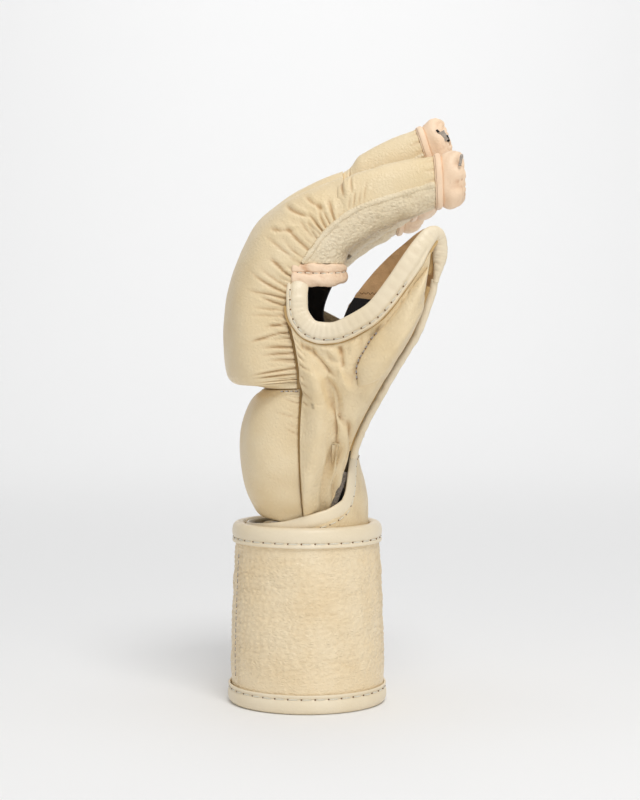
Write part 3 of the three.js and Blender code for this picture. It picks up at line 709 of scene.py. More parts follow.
@dataclass(frozen=True)
class ClothFinish:
    """Woven or looped cloth: crossed threads with a fuzzy sheen. The thread spacing is in millimetres."""

    name: str
    colour: str
    shade: str
    spacing: float
    depth: float
    roughness: float = 0.95
    sheen: float = 0.25
    looped: bool = False

    def material(self) -> bpy.types.Material:
        """Builds the material."""
        made = bpy.data.materials.new(self.name)
        made.use_nodes = True
        tree = made.node_tree
        tree.nodes.clear()
        place = node(tree, "TexCoord").outputs["Object"]
        if self.looped:
            threads = node(
                tree, "TexVoronoi", values={"Scale": 1 / (self.spacing * MM)}, links={"Vector": place}
            ).outputs["Distance"]
        else:
            turned = node(
                tree, "Mapping", values={"Rotation": (0.0, 0.0, math.radians(45))}, links={"Vector": place}
            )
            bands = [
                node(
                    tree,
                    "TexWave",
                    {"bands_direction": way},
                    {"Scale": 0.314 / (self.spacing * MM), "Distortion": 0.6, "Detail": 1.0},
                    {"Vector": turned.outputs["Vector"]},
                ).outputs["Fac"]
                for way in ("X", "Z")
            ]
            larger = node(tree, "Math", {"operation": "MAXIMUM"}, links={0: bands[0], 1: bands[1]})
            threads = larger.outputs[0]
        coloured = node(
            tree,
            "Mix",
            {"data_type": "RGBA"},
            {6: linear(self.shade), 7: linear(self.colour)},
            {0: threads},
        )
        raised = node(tree, "Bump", values={"Distance": self.depth * MM}, links={"Height": threads})
        shader = node(
            tree,
            "BsdfPrincipled",
            values={"Roughness": self.roughness, "Sheen Weight": self.sheen, "Specular IOR Level": 0.2},
            links={"Base Color": coloured.outputs[2], "Normal": raised.outputs["Normal"]},
        )
        node(tree, "OutputMaterial", links={"Surface": shader.outputs["BSDF"]})
        return made


class Finishes:
    """Every material of the glove, made once."""

    def __init__(self) -> None:
        """Builds the materials."""
        # Aniline cowhide, milled soft: a smooth satin cream with fine pores and faint wrinkles.
        self.cream = LeatherFinish(
            "milled_cream_cowhide", "#EEDBB6", "#E8D1A6", "#A87434",
            roughness=0.37, pore=0.6, pore_depth=0.09, wrinkle=1.9, wrinkle_depth=0.16, vein=0.04,
        ).material()
        # The cuff's hide is shrunk grain: its pebbles are in the mesh, and its fine wrinkles lie across.
        self.cuff = LeatherFinish(
            "shrunken_cream_cowhide", "#F6E4C2", "#F0D9B1", "#B98A49",
            roughness=0.34, pore=0.7, pore_depth=0.05, wrinkle=1.6, wrinkle_depth=0.24, vein=0.04,
            stretch=(0.65, 0.65, 1.1),
        ).material()
        # The palm's hide is thin and pebbled, greyer and more wrinkled. Its pale colour is partly its own and
        # partly painted light, which brightens the sleeves that face down.
        self.pebbled = LeatherFinish(
            "pebbled_cream_cowhide_painted_light", "#F3E4C6", "#EAD8B4", "#A57C46",
            roughness=0.4, pore=0.6, pore_depth=0.08, wrinkle=1.9, wrinkle_depth=0.36, vein=0.07,
        ).material()
        # Rolled binding leather is stretched smooth and paler.
        self.binding = LeatherFinish(
            "stretched_binding_leather", "#F2E4C9", "#ECDCBD", "#A98350",
            roughness=0.34, pore=0.5, pore_depth=0.03, wrinkle=1.6, wrinkle_depth=0.06, vein=0.02,
        ).material()
        # Hem leather is a thin pinkish skin that crumples easily.
        self.hem = LeatherFinish(
            "crumpled_hem_sheepskin", "#FBE2C5", "#F5D6B5", "#C08450",
            roughness=0.45, pore=0.5, pore_depth=0.04, wrinkle=1.6, wrinkle_depth=0.1, vein=0.04,
        ).material()
        # A seam allowance is the cut leather inside a seam; its darker warm brown is painted shade that falls
        # in the seam.
        self.allowance = LeatherFinish(
            "seam_allowance_painted_shade", "#DDBE8A", "#D0AC72", "#A57C46",
            roughness=0.7, pore=0.5, pore_depth=0.04, wrinkle=1.6, wrinkle_depth=0.1, vein=0.1,
        ).material()
        # Suede is the napped flesh side: matt, with a soft sheen.
        self.suede = LeatherFinish(
            "tan_split_suede", "#DDB587", "#CBA06E", "#86633A",
            roughness=0.92, pore=0.45, pore_depth=0.12, wrinkle=1.2, wrinkle_depth=0.1, vein=0.1,
            sheen=0.35,
        ).material()
        # Polyester lining is a matt black weave.
        self.lining = ClothFinish("black_polyester_lining", "#242324", "#141314", 0.7, 0.12).material()
        # Hook-and-loop tape is a grey looped pile.
        self.tape = ClothFinish(
            "grey_loop_tape", "#BDB2A6", "#978C81", 0.9, 0.35, looped=True, sheen=0.4
        ).material()
        # Bonded nylon thread, off-white and a little shiny; its needle holes are dark brown.
        self.thread = ClothFinish("bonded_nylon_thread", "#EDE7D6", "#D6CDB8", 0.4, 0.05, 0.5).material()
        self.grey_thread = ClothFinish("grey_nylon_thread", "#A9A6A8", "#8A878B", 0.4, 0.05, 0.5).material()
        self.hole = ClothFinish("needle_hole_shadow", "#7E5526", "#5E3D1A", 0.5, 0.02).material()


def find_offset() -> Vector:
    """The place of the cuff's axis in the frame, in metres."""
    low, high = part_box("cuff_wall")
    return Vector(((low.x + high.x) / 2, (low.y + high.y) / 2, 0.0))


OFFSET = find_offset()


def heart_at(x: float, y: float, z: float) -> Callable[[Array], Array]:
    """A heart that is the same point for the whole piece."""
    spot = np.array([x, y, z], float)
    return lambda p: np.broadcast_to(spot, p.shape)


def heart_axis(p: Array) -> Array:
    """A heart on the cuff's axis, level with each point."""
    return points(0 * p[..., 0], 0 * p[..., 1], p[..., 2])


@dataclass
class Piece:
    """One visible piece: its mesh, its material, and the node that it stands for."""

    name: str
    slot: Slot
    material: bpy.types.Material
    replaces: tuple[str, ...] = ()

    def finish(self, bm: bmesh.types.BMesh, shell: float = 0.0, smooth_levels: int = 0) -> bpy.types.Object:
        """Turns a bmesh into the finished piece.

        Args:
            bm: the shape in metres; it is freed here.
            shell: a wall thickness in millimetres for an open skin.
            smooth_levels: levels of Subdivision Surface.

        Returns:
            The object, riding on the glove.
        """
        mesh = bpy.data.meshes.new(self.name)
        bm.to_mesh(mesh)
        bm.free()
        mesh.materials.append(self.material)
        mesh.polygons.foreach_set("use_smooth", [True] * len(mesh.polygons))
        made = bpy.data.objects.new(self.name, mesh)
        bpy.context.scene.collection.objects.link(made)
        if shell:
            wall = made.modifiers.new("wall", "SOLIDIFY")
            wall.thickness = shell * MM
            wall.offset = -1.0
            wall.use_even_offset = False
        if smooth_levels:
            soft = made.modifiers.new("soft", "SUBSURF")
            soft.levels = smooth_levels
            soft.render_levels = smooth_levels
        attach(made, "root")
        if self.replaces:
            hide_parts(*self.replaces)
        log.info("%s: %d faces", self.name, len(mesh.polygons))
        return made


def blurred(table: Array, reach: int) -> Array:
    """A table of heights averaged over its neighbours up to reach cells away, both ways."""
    span = 2 * reach + 1
    for axis in (0, 1):
        margin = [(reach + 1, reach) if k == axis else (0, 0) for k in (0, 1)]
        total = np.cumsum(np.pad(table, margin, mode="edge"), axis=axis)
        size = total.shape[axis]
        table = (np.take(total, range(span, size), axis) - np.take(total, range(size - span), axis)) / span
    return table


def cavity(height: Array, u: Array, v: Array, reach: int = 3) -> Array:
    """How far each point of a grid lies below the mean of its neighbours, in the heights' unit.

    Args:
        height: the relief at each point.
        u: shares across.
        v: shares along.
        reach: how many cells away a neighbour may be.

    Returns:
        One value for each point, zero on a ridge.
    """
    across = len(np.unique(np.round(u, 6)))
    order = np.lexsort((np.round(u, 6), np.round(v, 6)))
    table = height[order].reshape(-1, across)
    depth = np.empty(len(height))
    depth[order] = (blurred(table, reach) - table).ravel()
    return np.maximum(0, depth)


def lay_grid(
    bm: bmesh.types.BMesh,
    skin: Skin,
    steps: tuple[int, int],
    heart: Callable[[Array], Array],
    relief: Optional[Relief] = None,
    crease_shade_depth: float = 1.0,
) -> list[bmesh.types.BMVert]:
    """Lays a grid on a skin, with its relief along the normal, and stores painted shade in each crease by how
    deep it is.

    Args:
        bm: the mesh that gets the grid.
        skin: where the grid lies.
        steps: cells across and along.
        heart: gives points inside the piece, so that normals point out.
        relief: heights in millimetres for u, v and the points.
        crease_shade_depth: the depth in millimetres that gets the full painted shade.

    Returns:
        The grid's vertices.
    """
    layer = bm.verts.layers.float.get("crease") or bm.verts.layers.float.new("crease")
    made = bmesh.ops.create_grid(bm, x_segments=steps[0], y_segments=steps[1], size=1.0)["verts"]
    flat = np.array([vert.co[:2] for vert in made])
    u, v = (flat[:, 0] + 1) / 2, (flat[:, 1] + 1) / 2
    p = skin(u, v)
    depth = np.zeros(len(p))
    if relief is not None:
        height = relief(u, v, p)
        p = p + normals(skin, u, v, heart) * height[:, None]
        # Painted shade: the crease attribute darkens each point by how far it lies below its neighbours.
        depth = np.clip(cavity(height, u, v) / (0.5 * crease_shade_depth), 0, 1) ** 1.2
    place = p * MM + np.array(OFFSET)
    for vert, spot, painted_shade in zip(made, place, depth):
        vert.co = spot
        vert[layer] = float(painted_shade) * 0.6
    faces = list({face for vert in made for face in vert.link_faces})
    for face in faces:
        face.normal_update()
    middle = np.array([face.calc_center_median() for face in faces])
    out = np.array([face.normal for face in faces])
    inside = heart((middle - np.array(OFFSET)) / MM) * MM + np.array(OFFSET)
    if np.sum(out * (middle - inside)) < 0:
        bmesh.ops.reverse_faces(bm, faces=faces)
    return made


def sheet_mesh(
    skin: Skin,
    steps: tuple[int, int],
    heart: Callable[[Array], Array],
    relief: Optional[Relief] = None,
    crease_shade_depth: float = 1.0,
) -> bmesh.types.BMesh:
    """A grid on a skin whose touching edges are welded; see lay_grid for the arguments."""
    bm = bmesh.new()
    lay_grid(bm, skin, steps, heart, relief, crease_shade_depth)
    bmesh.ops.remove_doubles(bm, verts=bm.verts[:], dist=1e-6)
    return bm


def closed_mesh(
    outer: Skin,
    inner: Skin,
    steps: tuple[int, int],
    heart: Callable[[Array], Array],
    relief: Optional[Relief] = None,
    crease_shade_depth: float = 1.0,
) -> bmesh.types.BMesh:
    """A closed shape between an outer and an inner skin whose borders are bridged."""
    bm = bmesh.new()
    lay_grid(bm, outer, steps, heart, relief, crease_shade_depth)
    rim = [edge for edge in bm.edges if edge.is_boundary]
    second = lay_grid(bm, inner, steps, heart)
    bmesh.ops.reverse_faces(bm, faces=list({face for vert in second for face in vert.link_faces}))
    other = [edge for vert in second for edge in vert.link_edges if edge.is_boundary]
    bmesh.ops.bridge_loops(bm, edges=rim + list(set(other)))
    bmesh.ops.recalc_face_normals(bm, faces=bm.faces[:])
    return bm


@dataclass(frozen=True)
class Sweep:
    """A bead along a path, with its section as a curve round the path.

    The section's first value is across the face, its second value is out of the face, both in millimetres.
    """

    path: Curve
    outward: Curve
    section: Callable[[Array, Array], tuple[Array, Array]]
    closed: bool = False

    def skin(self, u: Array, v: Array) -> Array:
        """Points round the section, u, and along the path, v."""
        step = 0.003
        if self.closed:
            along = self.path((v + step) % 1.0) - self.path((v - step) % 1.0)
        else:
            along = self.path(np.minimum(1, v + step)) - self.path(np.maximum(0, v - step))
        along /= np.maximum(np.linalg.norm(along, axis=-1, keepdims=True), 1e-9)
        out = self.outward(v)
        out = out - along * np.sum(out * along, axis=-1, keepdims=True)
        out /= np.maximum(np.linalg.norm(out, axis=-1, keepdims=True), 1e-9)
        side = np.cross(along, out)
        across, rise = self.section(u, v)
        return self.path(v) + side * across[..., None] + out * rise[..., None]

    def mesh(
        self, steps: tuple[int, int], relief: Optional[Relief] = None, scale: float = 1.0
    ) -> bmesh.types.BMesh:
        """The closed bead, with filled ends.

        Args:
            steps: cells round the section and along the path.
            relief: heights in millimetres.
            scale: the depth that gets the full painted shade.

        Returns:
            The mesh.
        """
        bm = bmesh.new()
        lay_grid(bm, self.skin, steps, lambda p: p * 0, relief, scale)
        bmesh.ops.remove_doubles(bm, verts=bm.verts[:], dist=1e-6)
        rims = [edge for edge in bm.edges if edge.is_boundary]
        if rims:
            bmesh.ops.holes_fill(bm, edges=rims, sides=0)
        bmesh.ops.recalc_face_normals(bm, faces=bm.faces[:])
        return bm


def oval(width: float, thickness: float) -> Callable[[Array, Array], tuple[Array, Array]]:
    """A plain oval section."""
    return lambda u, v: (
        width / 2 * np.cos(2 * math.pi * u) + 0 * v,
        thickness / 2 * np.sin(2 * math.pi * u) + 0 * v,
    )


@dataclass(frozen=True)
class StitchRow:
    """A row of thread stitches along a path, with a needle hole at each end. Lengths are in millimetres."""

    name: str
    path: Curve
    outward: Curve
    pitch: float
    thread: float
    slot: Slot
    share: float = 0.62
    lift: float = 0.1
    start: float = 0.0
    stop: float = 1.0

    def build(self, thread: bpy.types.Material, hole: bpy.types.Material) -> bpy.types.Object:
        """Makes the row as one piece.

        Args:
            thread: the thread's material.
            hole: the needle holes' material.

        Returns:
            The piece.
        """
        fine = np.linspace(self.start, self.stop, 600)
        spots = self.path(fine)
        run = np.concatenate([[0], np.cumsum(np.linalg.norm(np.diff(spots, axis=0), axis=1))])
        count = max(1, int(round(run[-1] / self.pitch)))
        bm = bmesh.new()
        for k in range(count):
            middle = (k + 0.5) * run[-1] / count
            reach = 0.5 * self.share * run[-1] / count
            shares = np.interp([middle - reach, middle, middle + reach], run, fine)
            a, m, b = self.path(shares)
            out = self.outward(shares[1:2])[0]
            out = out / np.linalg.norm(out)
            self.bead(bm, a, b, m + self.lift * out, out, self.thread, 0)
            hole_start = a - 0.25 * (b - a) / np.linalg.norm(b - a)
            self.bead(bm, hole_start, a, a + 0.05 * out, out, self.thread * 1.15, 1)
        made = Piece(self.name, self.slot, thread).finish(bm)
        made.data.materials.append(hole)
        return made

    def bead(
        self, bm: bmesh.types.BMesh, a: Array, b: Array, middle: Array, out: Array, size: float, look: int
    ) -> None:
        """Adds one stretched bead.

        Args:
            bm: the row's mesh.
            a: one end.
            b: the other end.
            middle: the bead's middle.
            out: the surface's normal there.
            size: the bead's width.
            look: the material's number.
        """
        made = bmesh.ops.create_uvsphere(bm, u_segments=6, v_segments=5, radius=0.5)["verts"]
        along = (b - a) / np.linalg.norm(b - a)
        side = np.cross(along, out)
        side /= np.linalg.norm(side)
        length = max(np.linalg.norm(b - a), size)
        for vert in made:
            x, y, z = vert.co
            spot = middle + along * z * length * 1.05 + side * x * size + out * y * size * 0.8
            vert.co = Vector(spot * MM) + OFFSET
        for face in {face for vert in made for face in vert.link_faces}:
            face.material_index = look
        bmesh.ops.recalc_face_normals(bm, faces=list({f for vert in made for f in vert.link_faces}))


def cloth_area(skin: Skin) -> tuple[float, float]:
    """The flat width and length in metres of a sheet that lies on a skin."""
    s = np.linspace(0, 1, 61)
    u, v = np.meshgrid(s, s)
    p = skin(u.ravel(), v.ravel()).reshape(61, 61, 3) * MM
    width = np.linalg.norm(np.diff(p, axis=1), axis=2).sum(1).mean()
    length = np.linalg.norm(np.diff(p, axis=0), axis=2).sum(0).mean()
    return float(width), float(length)


def cuff_out(z: Array) -> Array:
    """The cuff's outside radius at a height."""
    return CUFF_RADIUS * CUFF_ROWS.at(np.asarray(z) / CUFF_HEIGHT)["radius"]


def cuff_in(z: Array) -> Array:
    """The cuff's inside radius at a height."""
    return cuff_out(z) - CUFF_WALL


@dataclass
class Cuff:
    """The padded cuff with its two bindings, and the strap's turns and lining inside it."""

    finishes: Finishes
    seam_turn: float = -62.0
    seam_stitch_turn: float = -67.0
    stitch_pitch: float = 6.5
    thread: float = 0.75

    def build(self) -> None:
        """Builds every piece of the cuff."""
        self.wall()
        self.binding("top", CUFF_HEIGHT, -1.0, 0.0)
        self.binding("bottom", 0.0, 1.0, BINDING_FOOT)
        self.strap()
        self.strap_end()
        self.lining()

    def wall(self) -> None:
        """The cuff's leather wall, wrinkled across, with a stitched seam up its back."""
        low = BINDING_LEATHER + BINDING_FOOT + FIT
        high = CUFF_HEIGHT - BINDING_LEATHER - FIT

        def skin(u: Array, v: Array) -> Array:
            """The cuff's outside face."""
            z = mix(low, high, v)
            return around(cuff_out(z), 360 * u - 180, z)

        def relief(u: Array, v: Array, p: Array) -> Array:
            """Pebbles, long wrinkles across and the back seam's groove."""
            turn = 360 * u - 180
            z = p[:, 2]
            lumps = 0.22 * waves(p * np.array([0.5, 0.5, 1.0]), 15, 3)
            drift = 0.45 * waves(p, 16, 5)
            lines = 0.52 * pebbles(turn / 360 * 62 + drift, z / 2.4 + drift, 4) - 0.34
            long_lines = waves(p * np.array([0.16, 0.16, 1.0]) + 0.6 * waves(p, 14, 9)[:, None], 6.5, 8, 16)
            lines -= 0.24 * np.clip(1 - np.abs(long_lines) * 2.0, 0, 1)
            middle = smooth(10, 24, z) * (1 - smooth(70, 82, z))
            seam = -0.7 * bell((turn - self.seam_turn) * 0.65, 0.5)
            step = 0.35 * smooth(self.seam_turn - 1.5, self.seam_turn, turn)
            return (lumps + lines) * (0.3 + 0.7 * middle) + seam + step - 0.35

        piece = Piece("cuff_leather", Slot.CREAM, self.finishes.cuff, ("cuff_wall",))
        piece.finish(sheet_mesh(skin, (272, 106), heart_axis, relief, 4.0), shell=CUFF_WALL - 0.6)
        StitchRow(
            "cuff_seam_stitches",
            lambda t: around(cuff_out(mix(14, 74, t)), self.seam_stitch_turn, mix(14, 74, t)),
            lambda t: around(1.0, self.seam_stitch_turn, 0 * t),
            3.0,
            0.45,
            Slot.CREAM,
        ).build(self.finishes.grey_thread, self.finishes.hole)

    def binding(self, end: str, rim: float, direction: float, foot: float) -> None:
        """A rolled binding over a rim, stitched near its edge.

        Args:
            end: top or bottom, for the piece's name.
            rim: the rim's height.
            direction: 1 where the binding runs up from its rim, -1 where it runs down.
            foot: extra depth of leather under the wall's rim.
        """
        profile = Table(
            "side away height",
            [
                [1, 0.35, 9.3],
                [1, 1.15, 9.4],
                [1, 1.3, 8.6],
                [1, 1.0, 7.7],
                [1, 0.75, 7.3],
                [1, 1.2, 6.7],
                [1, 1.65, 5.2],
                [1, 1.75, 3.4],
                [1, 1.35, 1.5],
                [1, 0.2, 0.25],
                [0, 0, 0.0],
                [-1, 0.2, 0.25],
                [-1, 1.1, 1.6],
                [-1, 1.25, 4.5],
                [-1, 1.1, 8.8],
                [-1, 0.35, 9.2],
                [-1, 0.35, 1.6 + foot],
                [1, 0.35, 1.6 + foot],
                [1, 0.35, 9.3],
            ],
        )

        def skin(u: Array, v: Array) -> Array:
            """The binding's section, swept round the rim."""
            row = profile.at(u)
            pull = 0.5 * np.abs(np.cos(math.pi * v * 36)) * bell(row["height"] - 8.6, 0.9)
            pull = pull * smooth(0.2, 1, row["side"])
            z = rim + direction * np.maximum(row["height"], 0)
            middle = (cuff_out(z) + cuff_in(z)) / 2
            radius = middle + row["side"] * CUFF_WALL / 2 + np.sign(row["side"]) * row["away"] + 0.25 * pull
            return around(radius, 360 * v - 180, z)

        bm = bmesh.new()
        lay_grid(bm, skin, (54, 216), heart_axis)
        bmesh.ops.remove_doubles(bm, verts=bm.verts[:], dist=1e-5)
        bmesh.ops.recalc_face_normals(bm, faces=bm.faces[:])
        Piece(f"cuff_{end}_roll", Slot.BINDING, self.finishes.binding, (f"cuff_{end}_binding",)).finish(bm)

        height = rim + direction * 7.35
        StitchRow(
            f"cuff_{end}_stitches",
            lambda t: around(cuff_out(height + 0 * t) + 0.95, 360 * t - 180, height + 0 * t),
            lambda t: around(1.0, 360 * t - 180, 0 * t),
            self.stitch_pitch,
            self.thread,
            Slot.BINDING,
            share=0.74,
        ).build(self.finishes.thread, self.finishes.hole)

    def strap_radius(self) -> float:
        """The outside radius of the strap's first turn."""
        return float(cuff_in(CUFF_HEIGHT)) - FIT - BINDING_LEATHER - FIT - 0.2

    def strap_top(self, turn: Array) -> Array:
        """The strap's top edge at a turn."""
        return RIM_Z + STRAP_CLIMB * STRAP_ROWS.where("turn", turn)["rise"]

    def strap_point(self, radius: Array, turn: Array, z: Array) -> Array:
        """A point of the strap, which flattens above the rim towards the hand's oval."""
        share = smooth(RIM_Z + 8, RIM_Z + STRAP_CLIMB, z)
        p = around(radius, turn, z)
        scale_x = 1 - share * STRAP_LEAN / self.strap_radius()
        scale_y = 1 + share * STRAP_SPREAD / self.strap_radius()
        return points(p[..., 0] * scale_x, p[..., 1] * scale_y, p[..., 2])

    def strap(self) -> None:
        """The strap's first turn, which climbs to the heel of the palm, with its bound edge."""
        radius = self.strap_radius()

        def turn_at(u: Array) -> Array:
            """The turn in degrees at a share of the strap."""
            return mix(-150.0, 172.0, u)

        def skin(u: Array, v: Array) -> Array:
            """The strap's outside face under its bound edge."""
            turn = turn_at(u)
            slope = (self.strap_top(turn + 2) - self.strap_top(turn - 2)) / (math.radians(4) * radius)
            bottom = STRAP_INSET + 14 * smooth(-60, 90, turn)
            top = self.strap_top(turn) - (STRAP_ROLL + FIT) * np.hypot(1, slope)
            return self.strap_point(radius, turn, mix(bottom, top, v))

        def relief(u: Array, v: Array, p: Array) -> Array:
            """Soft lumps and fine wrinkles."""
            return 0.12 * waves(p, 11, 21) - 0.1 * np.clip(1 - 2.6 * np.abs(waves(p, 4.5, 22)), 0, 1)

        piece = Piece("strap_turn", Slot.CREAM, self.finishes.cream, ("strap_wrap",))
        piece.finish(sheet_mesh(skin, (180, 60), heart_axis, relief, 0.8), shell=STRAP_WALL)

        def edge(v: Array) -> Array:
            """The line that the bound edge follows."""
            turn = turn_at(v)
            return self.strap_point(radius - STRAP_WALL / 2, turn, self.strap_top(turn) - 1.2)

        def outward(v: Array) -> Array:
            """The direction out of the strap."""
            return around(1.0, turn_at(v), 0 * v)

        bead = Sweep(edge, outward, oval(7.0, STRAP_WALL + 0.7))
        roll = Piece("strap_edge_roll", Slot.BINDING, self.finishes.binding, ("strap_binding",))
        roll.finish(bead.mesh((14, 220)))

        def stitch_line(t: Array) -> Array:
            """The stitches' line, below the bound edge."""
            turn = turn_at(mix(0.5, 0.76, t))
            return self.strap_point(radius + 0.1, turn, self.strap_top(turn) - 5.2 * np.ones_like(turn))

        StitchRow(
            "strap_stitches",
            stitch_line,
            lambda t: outward(mix(0.5, 0.76, t)),
            5.2,
            0.6,
            Slot.BINDING,
            share=0.7,
        ).build(self.finishes.thread, self.finishes.hole)

    def strap_end(self) -> None:
        """The strap's rounded end and the hook tape on it, just inside the first turn."""
        inner = self.strap_radius() - STRAP_WALL

        def patch(radius: float, start: float, stop: float) -> Skin:
            """A curved patch on the strap's inside, with a rounded top."""
            def skin(u: Array, v: Array) -> Array:
                """The patch's face."""
                rounding = 7 * (1 - np.sin(math.pi * np.clip(u, 0, 1)) ** 0.5)
                top = RIM_Z + 2.2 - rounding
                return around(radius, mix(start, stop, u), mix(RIM_Z - 24, top, v))

            return skin

        tape = Piece("hook_tape_pile", Slot.TAPE, self.finishes.tape, ("hook_tape",))
        tape.finish(sheet_mesh(patch(inner - FIT, -50, -18), (60, 40), heart_axis), shell=TAPE_THICKNESS)
        end = Piece("strap_end_leather", Slot.CREAM, self.finishes.cream, ("strap_end",))
        end_face = patch(inner - 2 * FIT - TAPE_THICKNESS, -62, -18)
        end.finish(sheet_mesh(end_face, (60, 40), heart_axis), shell=STRAP_WALL)

    def lining(self) -> None:
        """The black woven sleeve inside the wrist."""

        def skin(u: Array, v: Array) -> Array:
            """The lining's outside face, an oval tube."""
            angle = 2 * math.pi * u
            z = RIM_Z - LINING_TAIL + v * (LINING_TAIL + LINING_RISE)
            x = LINING_CENTRE + LINING_HALF_DEPTH * np.cos(angle)
            return points(x, LINING_HALF_WIDTH * np.sin(angle), z)

        piece = Piece("wrist_lining_cloth", Slot.LINING, self.finishes.lining, ("wrist_lining",))
        made = piece.finish(
            sheet_mesh(
                skin, (72, 36), lambda p: points(LINING_CENTRE + 0 * p[..., 0], 0 * p[..., 1], p[..., 2])
            ),
            shell=LINING_WALL,
        )
        cloth_area(skin)


def dome(row: dict[str, Array], u: Array, hollow: Array, inset: float, bulge: Array) -> Array:
    """Half a cross-section from the thumb-side seam over the crest to the far seam.

    Args:
        row: crest, seam and half width in millimetres.
        u: shares round the half section.
        hollow: how much of the crest's height is used.
        inset: how far the section starts inside the seams.
        bulge: how far its sides swell out.

    Returns:
        Points of the section.
    """
    angle = math.pi * u
    c, s = signed_power(np.cos(angle), 0.84), signed_power(np.sin(angle), 0.84)
    side = bulge * np.sin(2 * angle) ** 2 * np.sign(np.cos(angle))
    y = -(row["half"] - inset) * c - side
    x = mix(row["seam_x"], row["crest_x"], s * hollow)
    return points(x, y, mix(row["seam_z"], row["crest_z"], s * hollow))


def backhand_row(v: Array) -> dict[str, Array]:
    """The back-of-hand pad's section at v, in millimetres."""
    r = BACKHAND_ROWS.at(v)
    z = RIM_Z + r["rise"] * WRIST_RISE
    return {
        "crest_x": -r["crest"] * HAND_DEPTH,
        "crest_z": z + r["lift"] * WRIST_RISE,
        "seam_x": -r["seam"] * HAND_DEPTH,
        "seam_z": z,
        "half": r["width"] * HAND_HALF_WIDTH,
        "hollow": r["hollow"],
    }


def knuckle_row(v: Array) -> dict[str, Array]:
    """The knuckle pad's section at v, in millimetres."""
    r = KNUCKLE_ROWS.at(v)
    return {
        "crest_x": r["crest_x"] * HAND_DEPTH,
        "crest_z": CREASE_Z + r["crest_z"] * KNUCKLE_RISE,
        "seam_x": r["seam_x"] * HAND_DEPTH,
        "seam_z": CREASE_Z + r["seam_z"] * KNUCKLE_RISE,
        "half": r["width"] * HAND_HALF_WIDTH,
        "hollow": r["hollow"],
    }


def seam_table() -> Table:
    """Where both pads meet the side panels, by height: x, half width and z in millimetres."""
    low = [
        [-r[3] * HAND_DEPTH, r[4] * HAND_HALF_WIDTH, RIM_Z + r[0] * WRIST_RISE]
        for r in BACKHAND_ROWS.rows
    ]
    high = [
        [r[2] * HAND_DEPTH, r[4] * HAND_HALF_WIDTH, CREASE_Z + r[3] * KNUCKLE_RISE]
        for r in KNUCKLE_ROWS.rows[2:9]
    ]
    return Table("x y z", low + high)


SEAM_ROWS = seam_table()


def side_seam(z: Array, side: float) -> Array:
    """A point of the seam at a height, on the thumb side, -1, or the far side, 1."""
    r = SEAM_ROWS.where("z", z)
    p = points(r["x"] + FIT + 0.2, side * r["y"], r["z"])
    return sloped(p) if side > 0 else p


